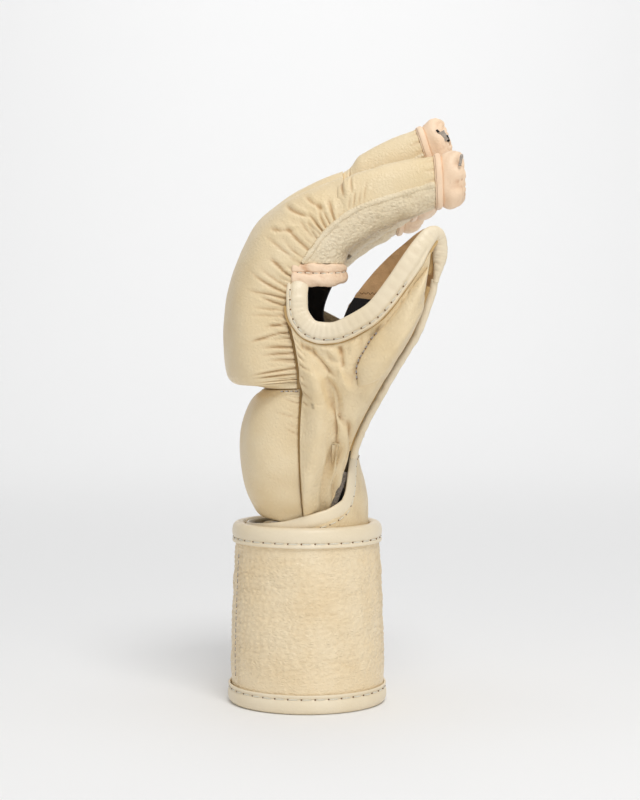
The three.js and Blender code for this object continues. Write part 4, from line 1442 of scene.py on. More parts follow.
@dataclass
class HandPads:
    """The two foam pads over the back of the hand, with gathered seams, and the lining under them."""

    finishes: Finishes
    pad_arc: float = 112.0
    knuckle_run: float = 118.0
    backhand_run: float = 66.0

    def build(self) -> None:
        """Builds both pads and their lining."""
        self.backhand()
        self.knuckles()
        self.lining()

    def backhand(self) -> None:
        """The smooth pad between the cuff and the knuckles."""
        near = Gathers(40, 64, 8, 13, 0.4, 31, slant=0.3, width=0.5)
        base = Gathers(-2, 14, 3, 9, 0.4, 32, slant=-0.3, width=0.9)

        def outer(u: Array, v: Array) -> Array:
            """The pad's outside face."""
            row = backhand_row(v)
            p = dome(row, u, 1.0 + 0 * u, 0.0, 0.5 * PAD_SIDE_BULGE * np.sin(math.pi * np.clip(v, 0, 1)))
            return p + points(0 * u, 0 * u, 0.8 * smooth(0.92, 1, v))

        def inner(u: Array, v: Array) -> Array:
            """The pad's face towards the hand."""
            row = backhand_row(v)
            return dome(row, u, row["hollow"], PAD_EDGE, 0 * u)

        def relief(u: Array, v: Array, p: Array) -> Array:
            """Gathers along the side seams and the base, and soft lumps."""
            away = np.minimum(u, 1 - u) * self.pad_arc
            along = v * self.backhand_run
            edge = smooth(0, 0.03, np.minimum(v, 1 - v))
            height = near.height(along, away) + base.height(along, away)
            return edge * height + 0.16 * waves(p, 20, 33) * edge

        piece = Piece("backhand_cushion", Slot.CREAM, self.finishes.cream, ("backhand_pad",))
        made = piece.finish(closed_mesh(outer, inner, (170, 90), heart_at(-8, 0, 120), relief, 1.1))

    def knuckles(self) -> None:
        """The large pad over the knuckles, gathered along both side seams and pinched between the fingers."""
        lower = Gathers(13, 62, 14, 21, 0.95, 41, slant=-0.2, width=0.6)
        upper = Gathers(60, 114, 15, 23, 1.0, 42, slant=0.12, width=0.6)
        fine = Gathers(10, 114, 38, 9, 0.5, 43, slant=0.0, width=0.4)
        far = Gathers(14, 108, 15, 16, 1.2, 44)
        creases = [
            Crease(0.1, 0.86, 0.3, 0.83, 0.9, 1.0),
            Crease(0.08, 0.93, 0.26, 0.9, 0.7, 0.8),
            Crease(0.1, 0.79, 0.24, 0.75, 0.7, 0.9),
        ]

        def groove(y: Array, v: Array) -> Array:
            """How far the pad is pinched in between the fingers."""
            total = np.zeros_like(y)
            for first, second in zip(FINGERS, FINGERS[1:]):
                between = 0.5 * (first.across + second.across) * HAND_HALF_WIDTH
                total += 3.4 * smooth(0.78, 1, v) * bell(y - between, 3.2)
            return total

        def outer(u: Array, v: Array) -> Array:
            """The pad's outside face, pinched between the fingers."""
            row = knuckle_row(v)
            fullness = smooth(0, 0.12, v) * (1 - smooth(0.75, 1, v))
            p = dome(row, u, 1.0 + 0 * u, 0.0, PAD_SIDE_BULGE * fullness)
            p = p - points(0 * u, 0 * u, 1.0 * (1 - smooth(0, 0.06, v)))
            inward = points(row["seam_x"] - p[..., 0], 0 * u, row["seam_z"] - p[..., 2])
            reach = np.linalg.norm(inward, axis=-1, keepdims=True)
            pinch = groove(p[..., 1], v)[..., None] * (reach > 1)
            return sloped(p + inward / np.maximum(reach, 1) * pinch)

        def inner(u: Array, v: Array) -> Array:
            """The pad's face towards the hand."""
            row = knuckle_row(v)
            return sloped(dome(row, u, row["hollow"], PAD_EDGE, 0 * u))

        def relief(u: Array, v: Array, p: Array) -> Array:
            """Gathers along both side seams, creases and soft lumps."""
            along = v * self.knuckle_run
            near_away, far_away = u * self.pad_arc, (1 - u) * self.pad_arc
            height = lower.height(along, near_away) + upper.height(along, near_away)
            height += fine.height(along, near_away) + far.height(along, far_away)
            for crease in creases:
                height += crease.height(u, v, self.pad_arc, self.knuckle_run)
            edge = smooth(0, 0.025, v) * smooth(0, 0.02, 1 - v)
            return edge * (height + 0.2 * waves(p, 24, 45))

        piece = Piece("knuckle_cushion", Slot.CREAM, self.finishes.cream, ("knuckle_pad",))
        made = piece.finish(closed_mesh(outer, inner, (212, 190), heart_at(2, 0, 190), relief, 1.3))

        StitchRow(
            "crease_stitches",
            lambda t: side_seam(CREASE_Z - 0.5 + 0 * t, -1)
            + points(-1.0 - 9.0 * t, -0.7 + 1.0 * t, -0.4 - 0.2 * t),
            lambda t: points(-0.35 + 0 * t, -1 + 0 * t, 0 * t),
            2.2,
            0.55,
            Slot.CREAM,
            share=0.6,
        ).build(self.finishes.grey_thread, self.finishes.hole)

    def lining(self) -> None:
        """The black cloth under the knuckle pad, which goes on past the far seam."""
        fold, tuck = 0.74, 7.0

        def skin(u: Array, v: Array) -> Array:
            """The cloth's face, with a flap past the far seam."""
            row = knuckle_row(mix(0.3, 0.7, v))
            share = np.minimum(1, u / fold)
            p = dome(row, share, row["hollow"], PAD_EDGE + FIT + 1.6, 0 * u)
            flap = np.maximum(0, (u - fold) / (1 - fold))
            shift = points(FIT * np.sin(math.pi * share) + 0.45 * HAND_DEPTH * flap, -tuck * flap**2, 0 * u)
            return sloped(p + shift)

        piece = Piece("hand_lining_cloth", Slot.LINING, self.finishes.lining, ("hand_lining",))
        made = piece.finish(sheet_mesh(skin, (72, 30), heart_at(-60, 0, 190)), shell=LINING_WALL)
        cloth_area(skin)


def thumb_point(row: dict[str, Array]) -> Array:
    """A point of the thumb's tables."""
    return points(row["x"] * THUMB_REACH, -row["y"] * THUMB_DEPTH, CREASE_Z + row["z"] * THUMB_HEIGHT)


def opening_at(t: Array) -> Array:
    """The opening's rolled edge at a share of its length."""
    return thumb_point(OPENING_PATH.at(t))


def back_at(t: Array) -> Array:
    """The thumb's back edge and the wrist slit's edge, from the top down."""
    return thumb_point(BACK_PATH.at(t))


def beside(path: Curve, distance: Callable[[Array], Array]) -> Curve:
    """A path moved sideways in its own face, to the left of its direction."""

    def moved(t: Array) -> Array:
        """The path after the move."""
        along = path(np.minimum(1, t + 0.004)) - path(np.maximum(0, t - 0.004))
        side = points(-along[..., 2], 0 * along[..., 0], along[..., 0])
        side /= np.linalg.norm(side, axis=-1, keepdims=True)
        return path(t) + side * np.asarray(distance(t))[..., None]

    return moved


def towards_thumb(t: Array) -> Array:
    """The direction out of the thumb side."""
    return points(0 * t, -1 + 0 * t, 0 * t)


def roll_size(t: Array) -> Array:
    """How thick the opening's roll is, as a share."""
    return OPENING_PATH.at(t)["size"]


CROTCH_SHARE = 0.168
TIP_SHARE = 0.69
ARM_SHARE = 0.12
ARM_TIP_SHARE = 0.885
PANEL_BOTTOM_Z = RIM_Z - 3

under_roll = beside(opening_at, lambda t: -(OPENING_ROLL_WIDTH / 2 * roll_size(t) + FIT + 0.3))
inner_back = beside(back_at, lambda t: -(PIPING_WIDTH / 2 + FIT + 0.3 + 1.6 * (1 - smooth(0, 0.1, t))))


class SidePanel:
    """The patch between the pads' seam, the opening's roll and the thumb's back edge."""

    def __init__(self) -> None:
        """Finds the patch's four corners."""
        one = np.array(1.0)
        low = side_seam(np.array(PANEL_BOTTOM_Z), -1)
        self.low_left = points(low[0], low[1], PANEL_BOTTOM_Z)
        self.high_left = under_roll(np.array(CROTCH_SHARE))
        self.high_right = under_roll(np.array(TIP_SHARE))
        self.low_right = inner_back(one)

    def pinned(self, curve: Curve, start: Array, end: Array, t: Array) -> Array:
        """A curve bent so that it starts and ends at the given points."""
        zero, one = np.array(0.0), np.array(1.0)
        back = (start - curve(zero)) * (1 - t)[..., None]
        return curve(t) + back + (end - curve(one)) * t[..., None]

    def left(self, v: Array) -> Array:
        """The edge along the pads' seam."""
        return side_seam(mix(PANEL_BOTTOM_Z, self.high_left[2], v), -1)

    def right(self, v: Array) -> Array:
        """The edge along the thumb's back and the roll's arm."""
        arm = under_roll(mix(1.0, ARM_TIP_SHARE, np.clip((v - 1 + ARM_SHARE) / ARM_SHARE, 0, 1)))
        back = inner_back(1 - np.clip(v / (1 - ARM_SHARE), 0, 1))
        return np.where((v > 1 - ARM_SHARE)[..., None], arm, back)

    def flat(self, u: Array, v: Array) -> Array:
        """The patch without folds."""
        sag = points(0 * u, 0.5 * np.sin(math.pi * u), 0 * u)
        bottom = mix(self.low_left, self.low_right, u[..., None]) + sag
        top = self.pinned(
            lambda t: under_roll(mix(CROTCH_SHARE, TIP_SHARE, t)), self.high_left, self.high_right, u
        )
        left = self.pinned(self.left, self.low_left, self.high_left, v)
        right = self.pinned(self.right, self.low_right, self.high_right, v)
        s, t = u[..., None], v[..., None]
        corners = (1 - s) * (1 - t) * self.low_left + s * (1 - t) * self.low_right
        corners = corners + (1 - s) * t * self.high_left + s * t * self.high_right
        return (1 - t) * bottom + t * top + (1 - s) * left + s * right - corners

    def folds(self, p: Array) -> Array:
        """Height of the soft folds at points of the patch."""
        total = np.zeros(p.shape[:-1])
        for x1, z1, x2, z2, height, spread in PANEL_FOLDS:
            start = np.array([x1 * THUMB_REACH, CREASE_Z + z1 * THUMB_HEIGHT])
            to = np.array([x2 * THUMB_REACH, CREASE_Z + z2 * THUMB_HEIGHT]) - start
            here = p[..., [0, 2]] - start
            share = here @ to / (to @ to)
            away = np.abs(here[..., 0] * to[1] - here[..., 1] * to[0]) / np.linalg.norm(to)
            ends = smooth(-0.2, 0.2, share) * (1 - smooth(0.8, 1.2, share))
            total += height * ends * bell(away, spread)
        return total

    def crumples(self, p: Array) -> Array:
        """Height of the sharper creases at points of the patch."""
        total = np.zeros(p.shape[:-1])
        for x1, z1, x2, z2, height, spread in PANEL_CREASES:
            start = np.array([x1 * THUMB_REACH, CREASE_Z + z1 * THUMB_HEIGHT])
            to = np.array([x2 * THUMB_REACH, CREASE_Z + z2 * THUMB_HEIGHT]) - start
            length = float(np.linalg.norm(to))
            here = p[..., [0, 2]] - start
            share = here @ to / length**2
            bow = 0.05 * length * np.sin(math.pi * np.clip(share, 0, 1) * 1.6)
            across = (here[..., 0] * to[1] - here[..., 1] * to[0]) / length + bow
            ends = smooth(-0.15, 0.25, share) * (1 - smooth(0.75, 1.15, share))
            total += height * ends * bell(across, spread)
        return total

    def skin(self, u: Array, v: Array) -> Array:
        """The patch with its swell and folds."""
        p = self.flat(u, v)
        inside = np.sin(math.pi * np.clip(u, 0, 1)) * np.sin(math.pi * np.clip(v, 0, 1))
        swell = THUMB_BULGE * smooth(0.35, 0.8, v) * np.sin(math.pi * np.clip(u, 0, 1))
        swell = swell * (1 - smooth(0.8, 1, v))
        return p - points(0 * u, swell + self.folds(p) * np.minimum(1, 3 * inside), 0 * u)


@dataclass
class ThumbPocket:
    """The thumb's pocket: rolled edge, side panel with its padded part, far wall and piping."""

    finishes: Finishes
    thread: float = 0.7

    def build(self) -> None:
        """Builds every piece of the pocket."""
        self.panel = SidePanel()
        self.opening_roll()
        self.piping()
        self.side_panel()
        self.pad()
        self.far_wall()

    def opening_roll(self) -> None:
        """The broad rolled edge with a stitched line and a narrow lip along its outer side."""

        def section(u: Array, v: Array) -> tuple[Array, Array]:
            """The roll's cross-section, with a groove under the stitches."""
            angle = 2 * math.pi * u
            size = roll_size(v)
            taper = 1 - 0.6 * smooth(0.9, 1.0, v)
            across = OPENING_ROLL_WIDTH / 2 * size * taper * np.cos(angle)
            rise = OPENING_ROLL_THICKNESS / 2 * (1 - 0.25 * (1 - taper)) * signed_power(np.sin(angle), 0.8)
            front = smooth(0.0, 0.35, np.sin(angle))
            line = OPENING_ROLL_WIDTH / 2 * size * 0.62
            arm = 1 - smooth(0.66, 0.72, v)
            groove = 1.0 * bell(across - line, 0.6) * arm
            return across, rise - front * groove

        def relief(u: Array, v: Array, p: Array) -> Array:
            """Puckers at the stitches and small folds near the thumb's tip."""
            pucker = 0.16 * np.cos(2 * math.pi * v * 40) * smooth(0.3, 1, np.sin(2 * math.pi * u))
            arm = smooth(0.76, 0.82, v) * (1 - smooth(0.96, 1.0, v))
            fold = np.sin(math.pi * v * 70 + 1.6 * np.sin(v * 90) + 0.5 * np.sin(u * 12))
            gather = -0.22 * arm * np.clip(1 - 1.6 * np.abs(fold), 0, 1)
            return pucker * 0.5 + gather + 0.1 * waves(p, 9, 51)

        def path(t: Array) -> Array:
            """The opening's edge, with its start turned up and in."""
            rise = 1 - smooth(0, 0.08, t)
            return opening_at(t) + points(0.6 * rise, 5.0 * rise, 6.5 * rise)

        bead = Sweep(path, towards_thumb, section)
        piece = Piece("opening_roll", Slot.BINDING, self.finishes.binding, ("opening_binding",))
        piece.finish(bead.mesh((44, 300), relief, 1.2))

        shift = beside(opening_at, lambda t: -(OPENING_ROLL_WIDTH / 2 * 0.62 * roll_size(t)))
        StitchRow(
            "opening_stitches",
            lambda t: shift(t) + points(0 * t, -(OPENING_ROLL_THICKNESS / 2 - 1.05) + 0 * t, 0 * t),
            towards_thumb,
            4.6,
            self.thread,
            Slot.BINDING,
            share=0.66,
            start=0.02,
            stop=0.6,
        ).build(self.finishes.thread, self.finishes.hole)

    def piping(self) -> None:
        """The piped edge down the thumb's back."""
        def path(v: Array) -> Array:
            """The thumb's back edge, with its start raised a little."""
            start = 1 - smooth(0, 0.06, v)
            return back_at(PIPED_SHARE * v) + points(0.4 * start, 0 * v, 4.0 * start)

        bead = Sweep(path, towards_thumb, oval(PIPING_WIDTH, PIPING_WIDTH))
        piece = Piece("thumb_back_piping", Slot.BINDING, self.finishes.binding, ("thumb_piping",))
        piece.finish(bead.mesh((14, 160), lambda u, v, p: 0.12 * waves(p, 5, 52)))

    def side_panel(self) -> None:
        """The soft, folded leather below the opening."""
        near_seam = Gathers(60, 92, 8, 8, 0.6, 61, slant=0.2, width=0.7)
        under = Gathers(4, 60, 12, 7, 0.4, 62, width=0.6)

        def relief(u: Array, v: Array, p: Array) -> Array:
            """Gathers, wrinkles and crumples, which fade at the edges."""
            height = near_seam.height(v * 95, u * 62) + under.height(u * 72, (1 - v) * 62)
            fine = waves(p * np.array([1.0, 1.0, 0.7]) + 0.8 * waves(p, 8, 64)[:, None], 3.4, 63, 18)
            wrinkles = -0.16 * np.clip(1 - 2.0 * np.abs(fine), 0, 1)
            edge = smooth(0, 0.03, np.minimum(np.minimum(u, 1 - u), np.minimum(v, 1 - v)))
            return edge * (height + wrinkles + 0.2 * waves(p, 12, 65) + self.panel.crumples(p))

        piece = Piece("thumb_panel_leather", Slot.CREAM, self.finishes.cream, ("thumb_side_panel",))
        bm = sheet_mesh(self.panel.skin, (150, 170), lambda p: p + points(0 * p[..., 0], 20, 0), relief, 1.6)
        piece.finish(bm, shell=PANEL_WALL - 0.3)

    def pad(self) -> None:
        """The padded panel over the thumb's bone, with a grey stitched seam along its lower edge."""

        def lifted(height: Callable[[Array, Array], Array]) -> Skin:
            """The pad's patch of the side panel, lifted off it by a height."""
            def skin(a: Array, b: Array) -> Array:
                """The lifted face."""
                r = PAD_ROWS.at(b)
                u, v = mix(r["left_u"], r["right_u"], a), mix(r["left_v"], r["right_v"], a)
                out = points(0.2 + 0 * a, -0.97, -0.1)
                return self.panel.skin(u, v) + out * height(a, b)[..., None]

            return skin

        def crown(a: Array, b: Array) -> Array:
            """The pad's height over the panel, full in the middle."""
            shape = np.maximum(0, np.sin(math.pi * a) * np.sin(math.pi * mix(0.04, 1.0, b))) ** 0.42
            return FIT + 0.1 + 1.9 * THUMB_PAD_THICKNESS * shape

        def relief(u: Array, v: Array, p: Array) -> Array:
            """Soft lumps and fine wrinkles."""
            edge = smooth(0, 0.06, np.minimum(np.minimum(u, 1 - u), np.minimum(v, 1 - v)))
            fine = waves(p * np.array([0.8, 1.0, 1.1]), 3.2, 72, 18)
            return edge * (0.14 * waves(p, 10, 71) - 0.1 * np.clip(1 - 2.0 * np.abs(fine), 0, 1))

        outer = lifted(crown)
        inner = lifted(lambda a, b: FIT + 0.1 + 0 * a)
        piece = Piece("thumb_cushion", Slot.CREAM, self.finishes.cream, ("thumb_pad",))
        bm = closed_mesh(outer, inner, (70, 110), lambda p: p + points(0 * p[..., 0], 20, 0), relief, 1.2)
        piece.finish(bm)

        edge_line = lifted(lambda a, b: FIT + 0.9 + 0 * a)
        StitchRow(
            "thumb_pad_stitches",
            lambda t: edge_line(-0.02 + 0 * t, mix(0.08, 0.62, t)),
            towards_thumb,
            2.4,
            0.7,
            Slot.CREAM,
            share=0.6,
        ).build(self.finishes.grey_thread, self.finishes.hole)

    def far_skin(self, u: Array, v: Array) -> Array:
        """The thumb's far wall from its free edge to the thumb's back."""
        free = thumb_point(FAR_WALL_ROWS.at(v))
        arm = opening_at(mix(1.0, 0.84, np.clip((v - 0.8) / 0.2, 0, 1)))
        back = np.where((v > 0.8)[..., None], arm, back_at(mix(0.215, 0.0, np.clip(v / 0.8, 0, 1))))
        back = back + points(-1.4, OPENING_ROLL_THICKNESS / 2 + THUMB_WALL + FIT + 0.3, 0)
        swell = 3 * np.sin(math.pi * np.clip(u, 0, 1)) * (1 - v)
        return mix(free, back, u[..., None]) + points(0 * u, swell, 0 * u)

    def far_wall(self) -> None:
        """The tan suede far wall and the black lining on its lower part."""

        def relief(u: Array, v: Array, p: Array) -> Array:
            """Soft lumps in the suede."""
            return 0.25 * waves(p, 12, 81) + 0.12 * waves(p, 4, 82)

        heart = heart_at(30, 60, 190)
        piece = Piece("thumb_far_suede", Slot.SUEDE, self.finishes.suede, ("thumb_inner_wall",))
        piece.finish(sheet_mesh(self.far_skin, (50, 90), heart, relief), shell=THUMB_WALL)

        def lined(u: Array, v: Array) -> Array:
            """The lining's face, in front of the suede's lower part."""
            p = self.far_skin(0.85 * u, 0.33 * v)
            return p - points(0 * u, THUMB_WALL + FIT + 0 * u, 0 * u)

        def zigzag(t: Array) -> Array:
            """A zigzag line across the suede."""
            wave = 0.9 * (2 * np.abs((t * 9) % 1 - 0.5) - 0.5)
            p = self.far_skin(0.04 + 0.5 * t, mix(0.36, 0.4, t))
            return p + points(0 * t, -THUMB_WALL - 0.2 + 0 * t, wave)

        StitchRow(
            "suede_stitches", zigzag, towards_thumb, 1.5, 0.4, Slot.SUEDE, share=0.8
        ).build(self.finishes.hole, self.finishes.hole)

        cloth = Piece("thumb_lining_cloth", Slot.LINING, self.finishes.lining, ("thumb_lining",))
        made = cloth.finish(sheet_mesh(lined, (40, 40), heart), shell=LINING_WALL)
        cloth_area(lined)


@dataclass
class Palm:
    """The palm panel round the heel of the hand, and the tape in the wrist slit."""

    finishes: Finishes

    def build(self) -> None:
        """Builds the palm panel and the tape."""

        def near(v: Array) -> Array:
            """The panel's edge at the thumb's back and the wrist slit."""
            return back_at(mix(0.535, 0.235, v)) + points(-0.8, PIPING_WIDTH / 2 + FIT + 0.5, 0)

        def far(v: Array) -> Array:
            """The panel's edge at the far side seam."""
            return side_seam(mix(RIM_Z + STRAP_CLIMB + 4, RIM_Z + 117, v), 1)

        def skin(u: Array, v: Array) -> Array:
            """The panel's face, bulged over the heel of the palm."""
            start, end = near(v), far(v)
            inside = np.clip(u, 0, 1)
            rounding = np.sin(math.pi * inside) ** 0.85
            y = mix(start[..., 1], end[..., 1], (1 - np.cos(math.pi * u)) / 2)
            dip = 1.7 * PALM_DIP * np.sin(math.pi * inside) * smooth(0.5, 1, v)
            z = mix(start[..., 2], end[..., 2], u) - dip
            return points(mix(start[..., 0], end[..., 0], u) + PALM_BULGE * rounding, y, z)

        far_gathers = Gathers(10, 80, 10, 12, 0.7, 91)

        def relief(u: Array, v: Array, p: Array) -> Array:
            """Gathers at the far seam, wrinkles and soft lumps."""
            fine = waves(p + 0.8 * waves(p, 8, 93)[:, None], 3.6, 92, 18)
            wrinkles = -0.18 * np.clip(1 - 2.0 * np.abs(fine), 0, 1)
            edge = smooth(0, 0.04, np.minimum(np.minimum(u, 1 - u), np.minimum(v, 1 - v)))
            return edge * (far_gathers.height(v * 90, (1 - u) * 90) + wrinkles + 0.3 * waves(p, 16, 94))

        piece = Piece("palm_leather", Slot.CREAM, self.finishes.pebbled, ("palm_panel",))
        piece.finish(sheet_mesh(skin, (110, 90), heart_at(0, 0, 165), relief, 1.2), shell=PANEL_WALL - 0.3)

        def tape_line(v: Array) -> Array:
            """The tape's line in the wrist slit."""
            return back_at(mix(0.73, 0.91, v)) + points(-1.8, PANEL_WALL + FIT + 0.5, 0)

        tape = Sweep(tape_line, towards_thumb, oval(4.0, TAPE_THICKNESS))
        slit = Piece("slit_tape_weave", Slot.TAPE, self.finishes.tape, ("slit_tape",))
        slit.finish(tape.mesh((14, 50)))


@dataclass(frozen=True)
class FingerPlan:
    """One finger: its place across the hand as a share, its shift and turn, its length and sleeve's start."""

    name: str
    across: float
    shift_z: float
    lift: float
    length: float
    first_row: int


FINGERS = [
    FingerPlan("index", -0.765, 0.0, 0.0, 1.0, 0),
    FingerPlan("middle", -0.26, 5.0, 14.0, 1.02, SPLIT_ROW - 1),
    FingerPlan("ring", 0.245, -3.0, 3.0, 0.8, SPLIT_ROW - 1),
    FingerPlan("little", 0.75, -2.0, 2.0, 0.7, 1),
]


@dataclass
class Finger:
    """One finger's padded back, leather sleeve and soft rolled hem."""

    plan: FingerPlan
    finishes: Finishes

    def row(self, t: Array) -> dict[str, Array]:
        """The finger's section at t: crest, seam and low points and the half width."""
        r = FINGER_ROWS.at(t)
        turn = math.radians(self.plan.lift)

        def place(x: Array, z: Array) -> Array:
            """A point of the finger, which bends up by the plan's lift."""
            along = x * FINGER_LENGTH * np.where(x > 0, self.plan.length, 1.0)
            up = z * FINGER_HEIGHT
            bent = turn * smooth(0.03, 0.35, x)
            return points(
                SPLIT_X + along * np.cos(bent) - up * np.sin(bent),
                self.plan.across * HAND_HALF_WIDTH,
                SPLIT_Z + self.plan.shift_z + along * np.sin(bent) + up * np.cos(bent),
            )

        return {
            "crest": place(r["crest_x"], r["crest_z"]),
            "seam": place(r["seam_x"], r["seam_z"]),
            "low": place(r["low_x"], r["low_z"]),
            "half": r["width"] * FINGER_HALF_WIDTH,
        }

    def arc(self, t: Array, u: Array, upper: bool, depth: float, inset: float) -> Array:
        """A finger's section from one side seam to the other.

        Args:
            t: place along the finger's table.
            u: shares round the half section.
            upper: over the crest if true, else under the palm side.
            depth: how far inside the outer surface the arc lies.
            inset: how far inside the side seams it starts.

        Returns:
            Points of the arc.
        """
        row = self.row(t)
        reach = row["crest" if upper else "low"] - row["seam"]
        length = np.linalg.norm(reach, axis=-1, keepdims=True)
        reach = reach / length * np.maximum(0.8, length - depth)
        c = signed_power(np.cos(math.pi * u), 0.8)
        s = signed_power(np.sin(math.pi * u), 0.8)
        p = row["seam"] + reach * s[..., None]
        return p - points(0 * u, (row["half"] - inset) * c, 0 * u)

    def ring(self, t: Array, depth: float, u: Array) -> Array:
        """A finger's whole section: u from 0 to 1 runs once round it."""
        high = self.arc(t, np.clip(2 * u, 0, 1), True, depth, depth)
        low = self.arc(t, np.clip(2 - 2 * u, 0, 1), False, depth, depth)
        return np.where((u < 0.5)[..., None], high, low)

    def build(self) -> None:
        """Builds the finger's pieces."""
        split = SPLIT_ROW / FINGER_STEPS
        first = self.plan.first_row / FINGER_STEPS
        seed = 100 + 10 * FINGERS.index(self.plan)
        y = self.plan.across * HAND_HALF_WIDTH
        heart = heart_at(SPLIT_X + 0.6 * FINGER_LENGTH, y, SPLIT_Z + 0.38 * FINGER_HEIGHT)

        def pad(depth: float, inset: float) -> Skin:
            """One face of the padded back."""
            def skin(u: Array, v: Array) -> Array:
                """The face, from under the knuckle pad to the finger's end."""
                p = self.arc(mix(split - 0.06, 1.0, v), u, True, depth, inset)
                return sloped(p + points(0 * u, 0 * u, FIT / 2 + 0 * u))

            return skin

        base = Gathers(4, 16, 4, 9, 0.4, seed, slant=0.2, width=0.6)
        cross = [Crease(0.12, 0.1, 0.5, 0.06, 0.7, 0.8), Crease(0.1, 0.22, 0.4, 0.2, 0.45, 0.8)]

        def pad_relief(u: Array, v: Array, p: Array) -> Array:
            """Gathers and creases at the base, and small puckers at the hem."""
            height = base.height(v * 40, np.minimum(u, 1 - u) * 44)
            for crease in cross:
                height += crease.height(u, v, 44, 40)
            height -= 0.4 * smooth(0.86, 1.0, v) * np.clip(np.sin(u * 46 + 1.5 * np.sin(9 * u)), 0, 1)
            edge = smooth(0, 0.04, np.minimum(u, 1 - u)) * smooth(0, 0.03, v)
            return edge * (height + 0.15 * waves(p, 14, seed + 1)) - 1.3 * (1 - smooth(0.02, 0.11, v))

        fine = self.plan.name in ("index", "middle")
        piece = Piece(
            f"finger_cushion_{self.plan.name}",
            Slot.CREAM,
            self.finishes.cream,
            (f"finger_pad_{self.plan.name}",),
        )
        made = piece.finish(
            closed_mesh(
                pad(0, 0),
                pad(FINGER_PAD_THICKNESS, SLEEVE_WALL),
                (80, 76) if fine else (54, 50),
                heart,
                pad_relief,
                1.0,
            )
        )

        def sleeve(u: Array, v: Array) -> Array:
            """The sleeve's face under the finger."""
            p = self.arc(mix(first, 1.0, v), u, False, 0.0, 0.0)
            return sloped(p - points(0 * u, 0 * u, FIT / 2 + 0 * u))

        def sleeve_relief(u: Array, v: Array, p: Array) -> Array:
            """Wrinkles between small cells, and soft lumps."""
            fine = waves(p + 0.9 * waves(p, 7, seed + 3)[:, None], 3.0, seed + 2, 18)
            cells = -0.3 * np.clip(1 - 1.8 * np.abs(fine), 0, 1)
            edge = smooth(0, 0.05, np.minimum(u, 1 - u))
            return edge * (cells + 0.25 * waves(p, 9, seed + 4))

        cover = Piece(
            f"finger_leather_{self.plan.name}",
            Slot.CREAM,
            self.finishes.pebbled,
            (f"finger_sleeve_{self.plan.name}",),
        )
        steps = (90, 110) if self.plan.first_row == 0 else (54, 50)
        bm = sheet_mesh(sleeve, steps, heart_at(SPLIT_X, y, SPLIT_Z + 12), sleeve_relief, 0.9)
        cover.finish(bm, shell=SLEEVE_WALL)
        self.welts()
        self.tip_hem(seed)

    def welts(self) -> None:
        """The ridges of folded leather along both seams between the padded back and the sleeve."""
        first = self.plan.first_row / FINGER_STEPS

        for side, label in ((-1.0, "near"), (1.0, "far")):

            def path(v: Array) -> Array:
                """The seam between the padded back and the sleeve."""
                row = self.row(mix(first + 0.01, 1.0, v))
                return sloped(row["seam"] + points(0 * v, side * (row["half"] - 0.5), 0 * v))

            bead = Sweep(path, lambda v: points(0 * v, side + 0 * v, 0 * v), oval(3.0, 2.6))
            name = f"finger_welt_{self.plan.name}_{label}"
            bm = bead.mesh((14, 90), lambda u, v, p: 0.16 * waves(p, 5, 171))
            Piece(name, Slot.CREAM, self.finishes.pebbled).finish(bm)

    def tip_hem(self, seed: int) -> None:
        """The soft hem round the finger's end: a rolled ridge, a full body and a crumpled mouth."""
        end = np.array(1.0)
        row = self.row(end)
        middle = 0.5 * (row["crest"] + row["low"])
        middle[1] = self.plan.across * HAND_HALF_WIDTH
        forward = row["crest"] - self.row(np.array(5 / FINGER_STEPS))["crest"]
        forward[1] = 0
        forward /= np.linalg.norm(forward)
        # Place along the hem from the finger, and how wide it is there as a share of the finger's end. The
        # last rows turn in over the mouth and run back down its inside.
        profile = Table(
            "along wide",
            [
                [-0.02, 1.0],
                [0.02, 1.06],
                [0.1, 1.09],
                [0.2, 1.07],
                [0.25, 1.0],
                [0.33, 1.04],
                [0.5, 1.1],
                [0.7, 1.09],
                [0.88, 0.98],
                [1.0, 0.8],
                [0.98, 0.68],
                [0.8, 0.64],
                [0.4, 0.66],
                [0.02, 0.68],
            ],
        )

        def skin(u: Array, v: Array) -> Array:
            """The hem's face, from its ridge over the mouth to its inside."""
            r = profile.at(v)
            rim = self.ring(np.ones_like(u), 0.0, u) - middle
            along = FIT + 0.1 + r["along"] * HEM_WIDTH
            p = middle + rim * r["wide"][..., None] + forward * along[..., None]
            return sloped(p)

        def relief(u: Array, v: Array, p: Array) -> Array:
            """Lumps, two pressed lines and folds at the mouth."""
            angle = 2 * math.pi * u
            outside = 1 - smooth(0.66, 0.74, v)
            lumps = 0.5 * waves(p, 8, seed + 5) * smooth(0.3, 0.5, v) * outside
            crumple = waves(p + 1.4 * waves(p, 6, seed + 6)[:, None], 4.5, seed + 7, 18)
            mouth = smooth(0.45, 0.7, v) * (1 - smooth(0.76, 0.9, v))
            folds = -0.55 * mouth * np.clip(1 - 1.6 * np.abs(crumple), 0, 1)
            lines = -0.55 * (bell((v - 0.305) * 40, 0.45) + bell((v - 0.075) * 40, 0.4)) * outside
            wobble = 0.25 * np.sin(5 * angle + seed) * bell(v - 0.18, 0.1)
            return lumps + folds + lines + wobble

        name = self.plan.name
        piece = Piece(f"tip_hem_roll_{name}", Slot.HEM, self.finishes.hem, (f"tip_hem_{name}",))
        centre = sloped(middle + forward * HEM_WIDTH / 2)
        bm = bmesh.new()
        lay_grid(bm, skin, (110, 70), heart_at(*centre), relief, 1.2)
        bmesh.ops.remove_doubles(bm, verts=bm.verts[:], dist=1e-5)
        rims = [edge for edge in bm.edges if edge.is_boundary]
        bmesh.ops.bridge_loops(bm, edges=rims)
        bmesh.ops.recalc_face_normals(bm, faces=bm.faces[:])
        piece.finish(bm)


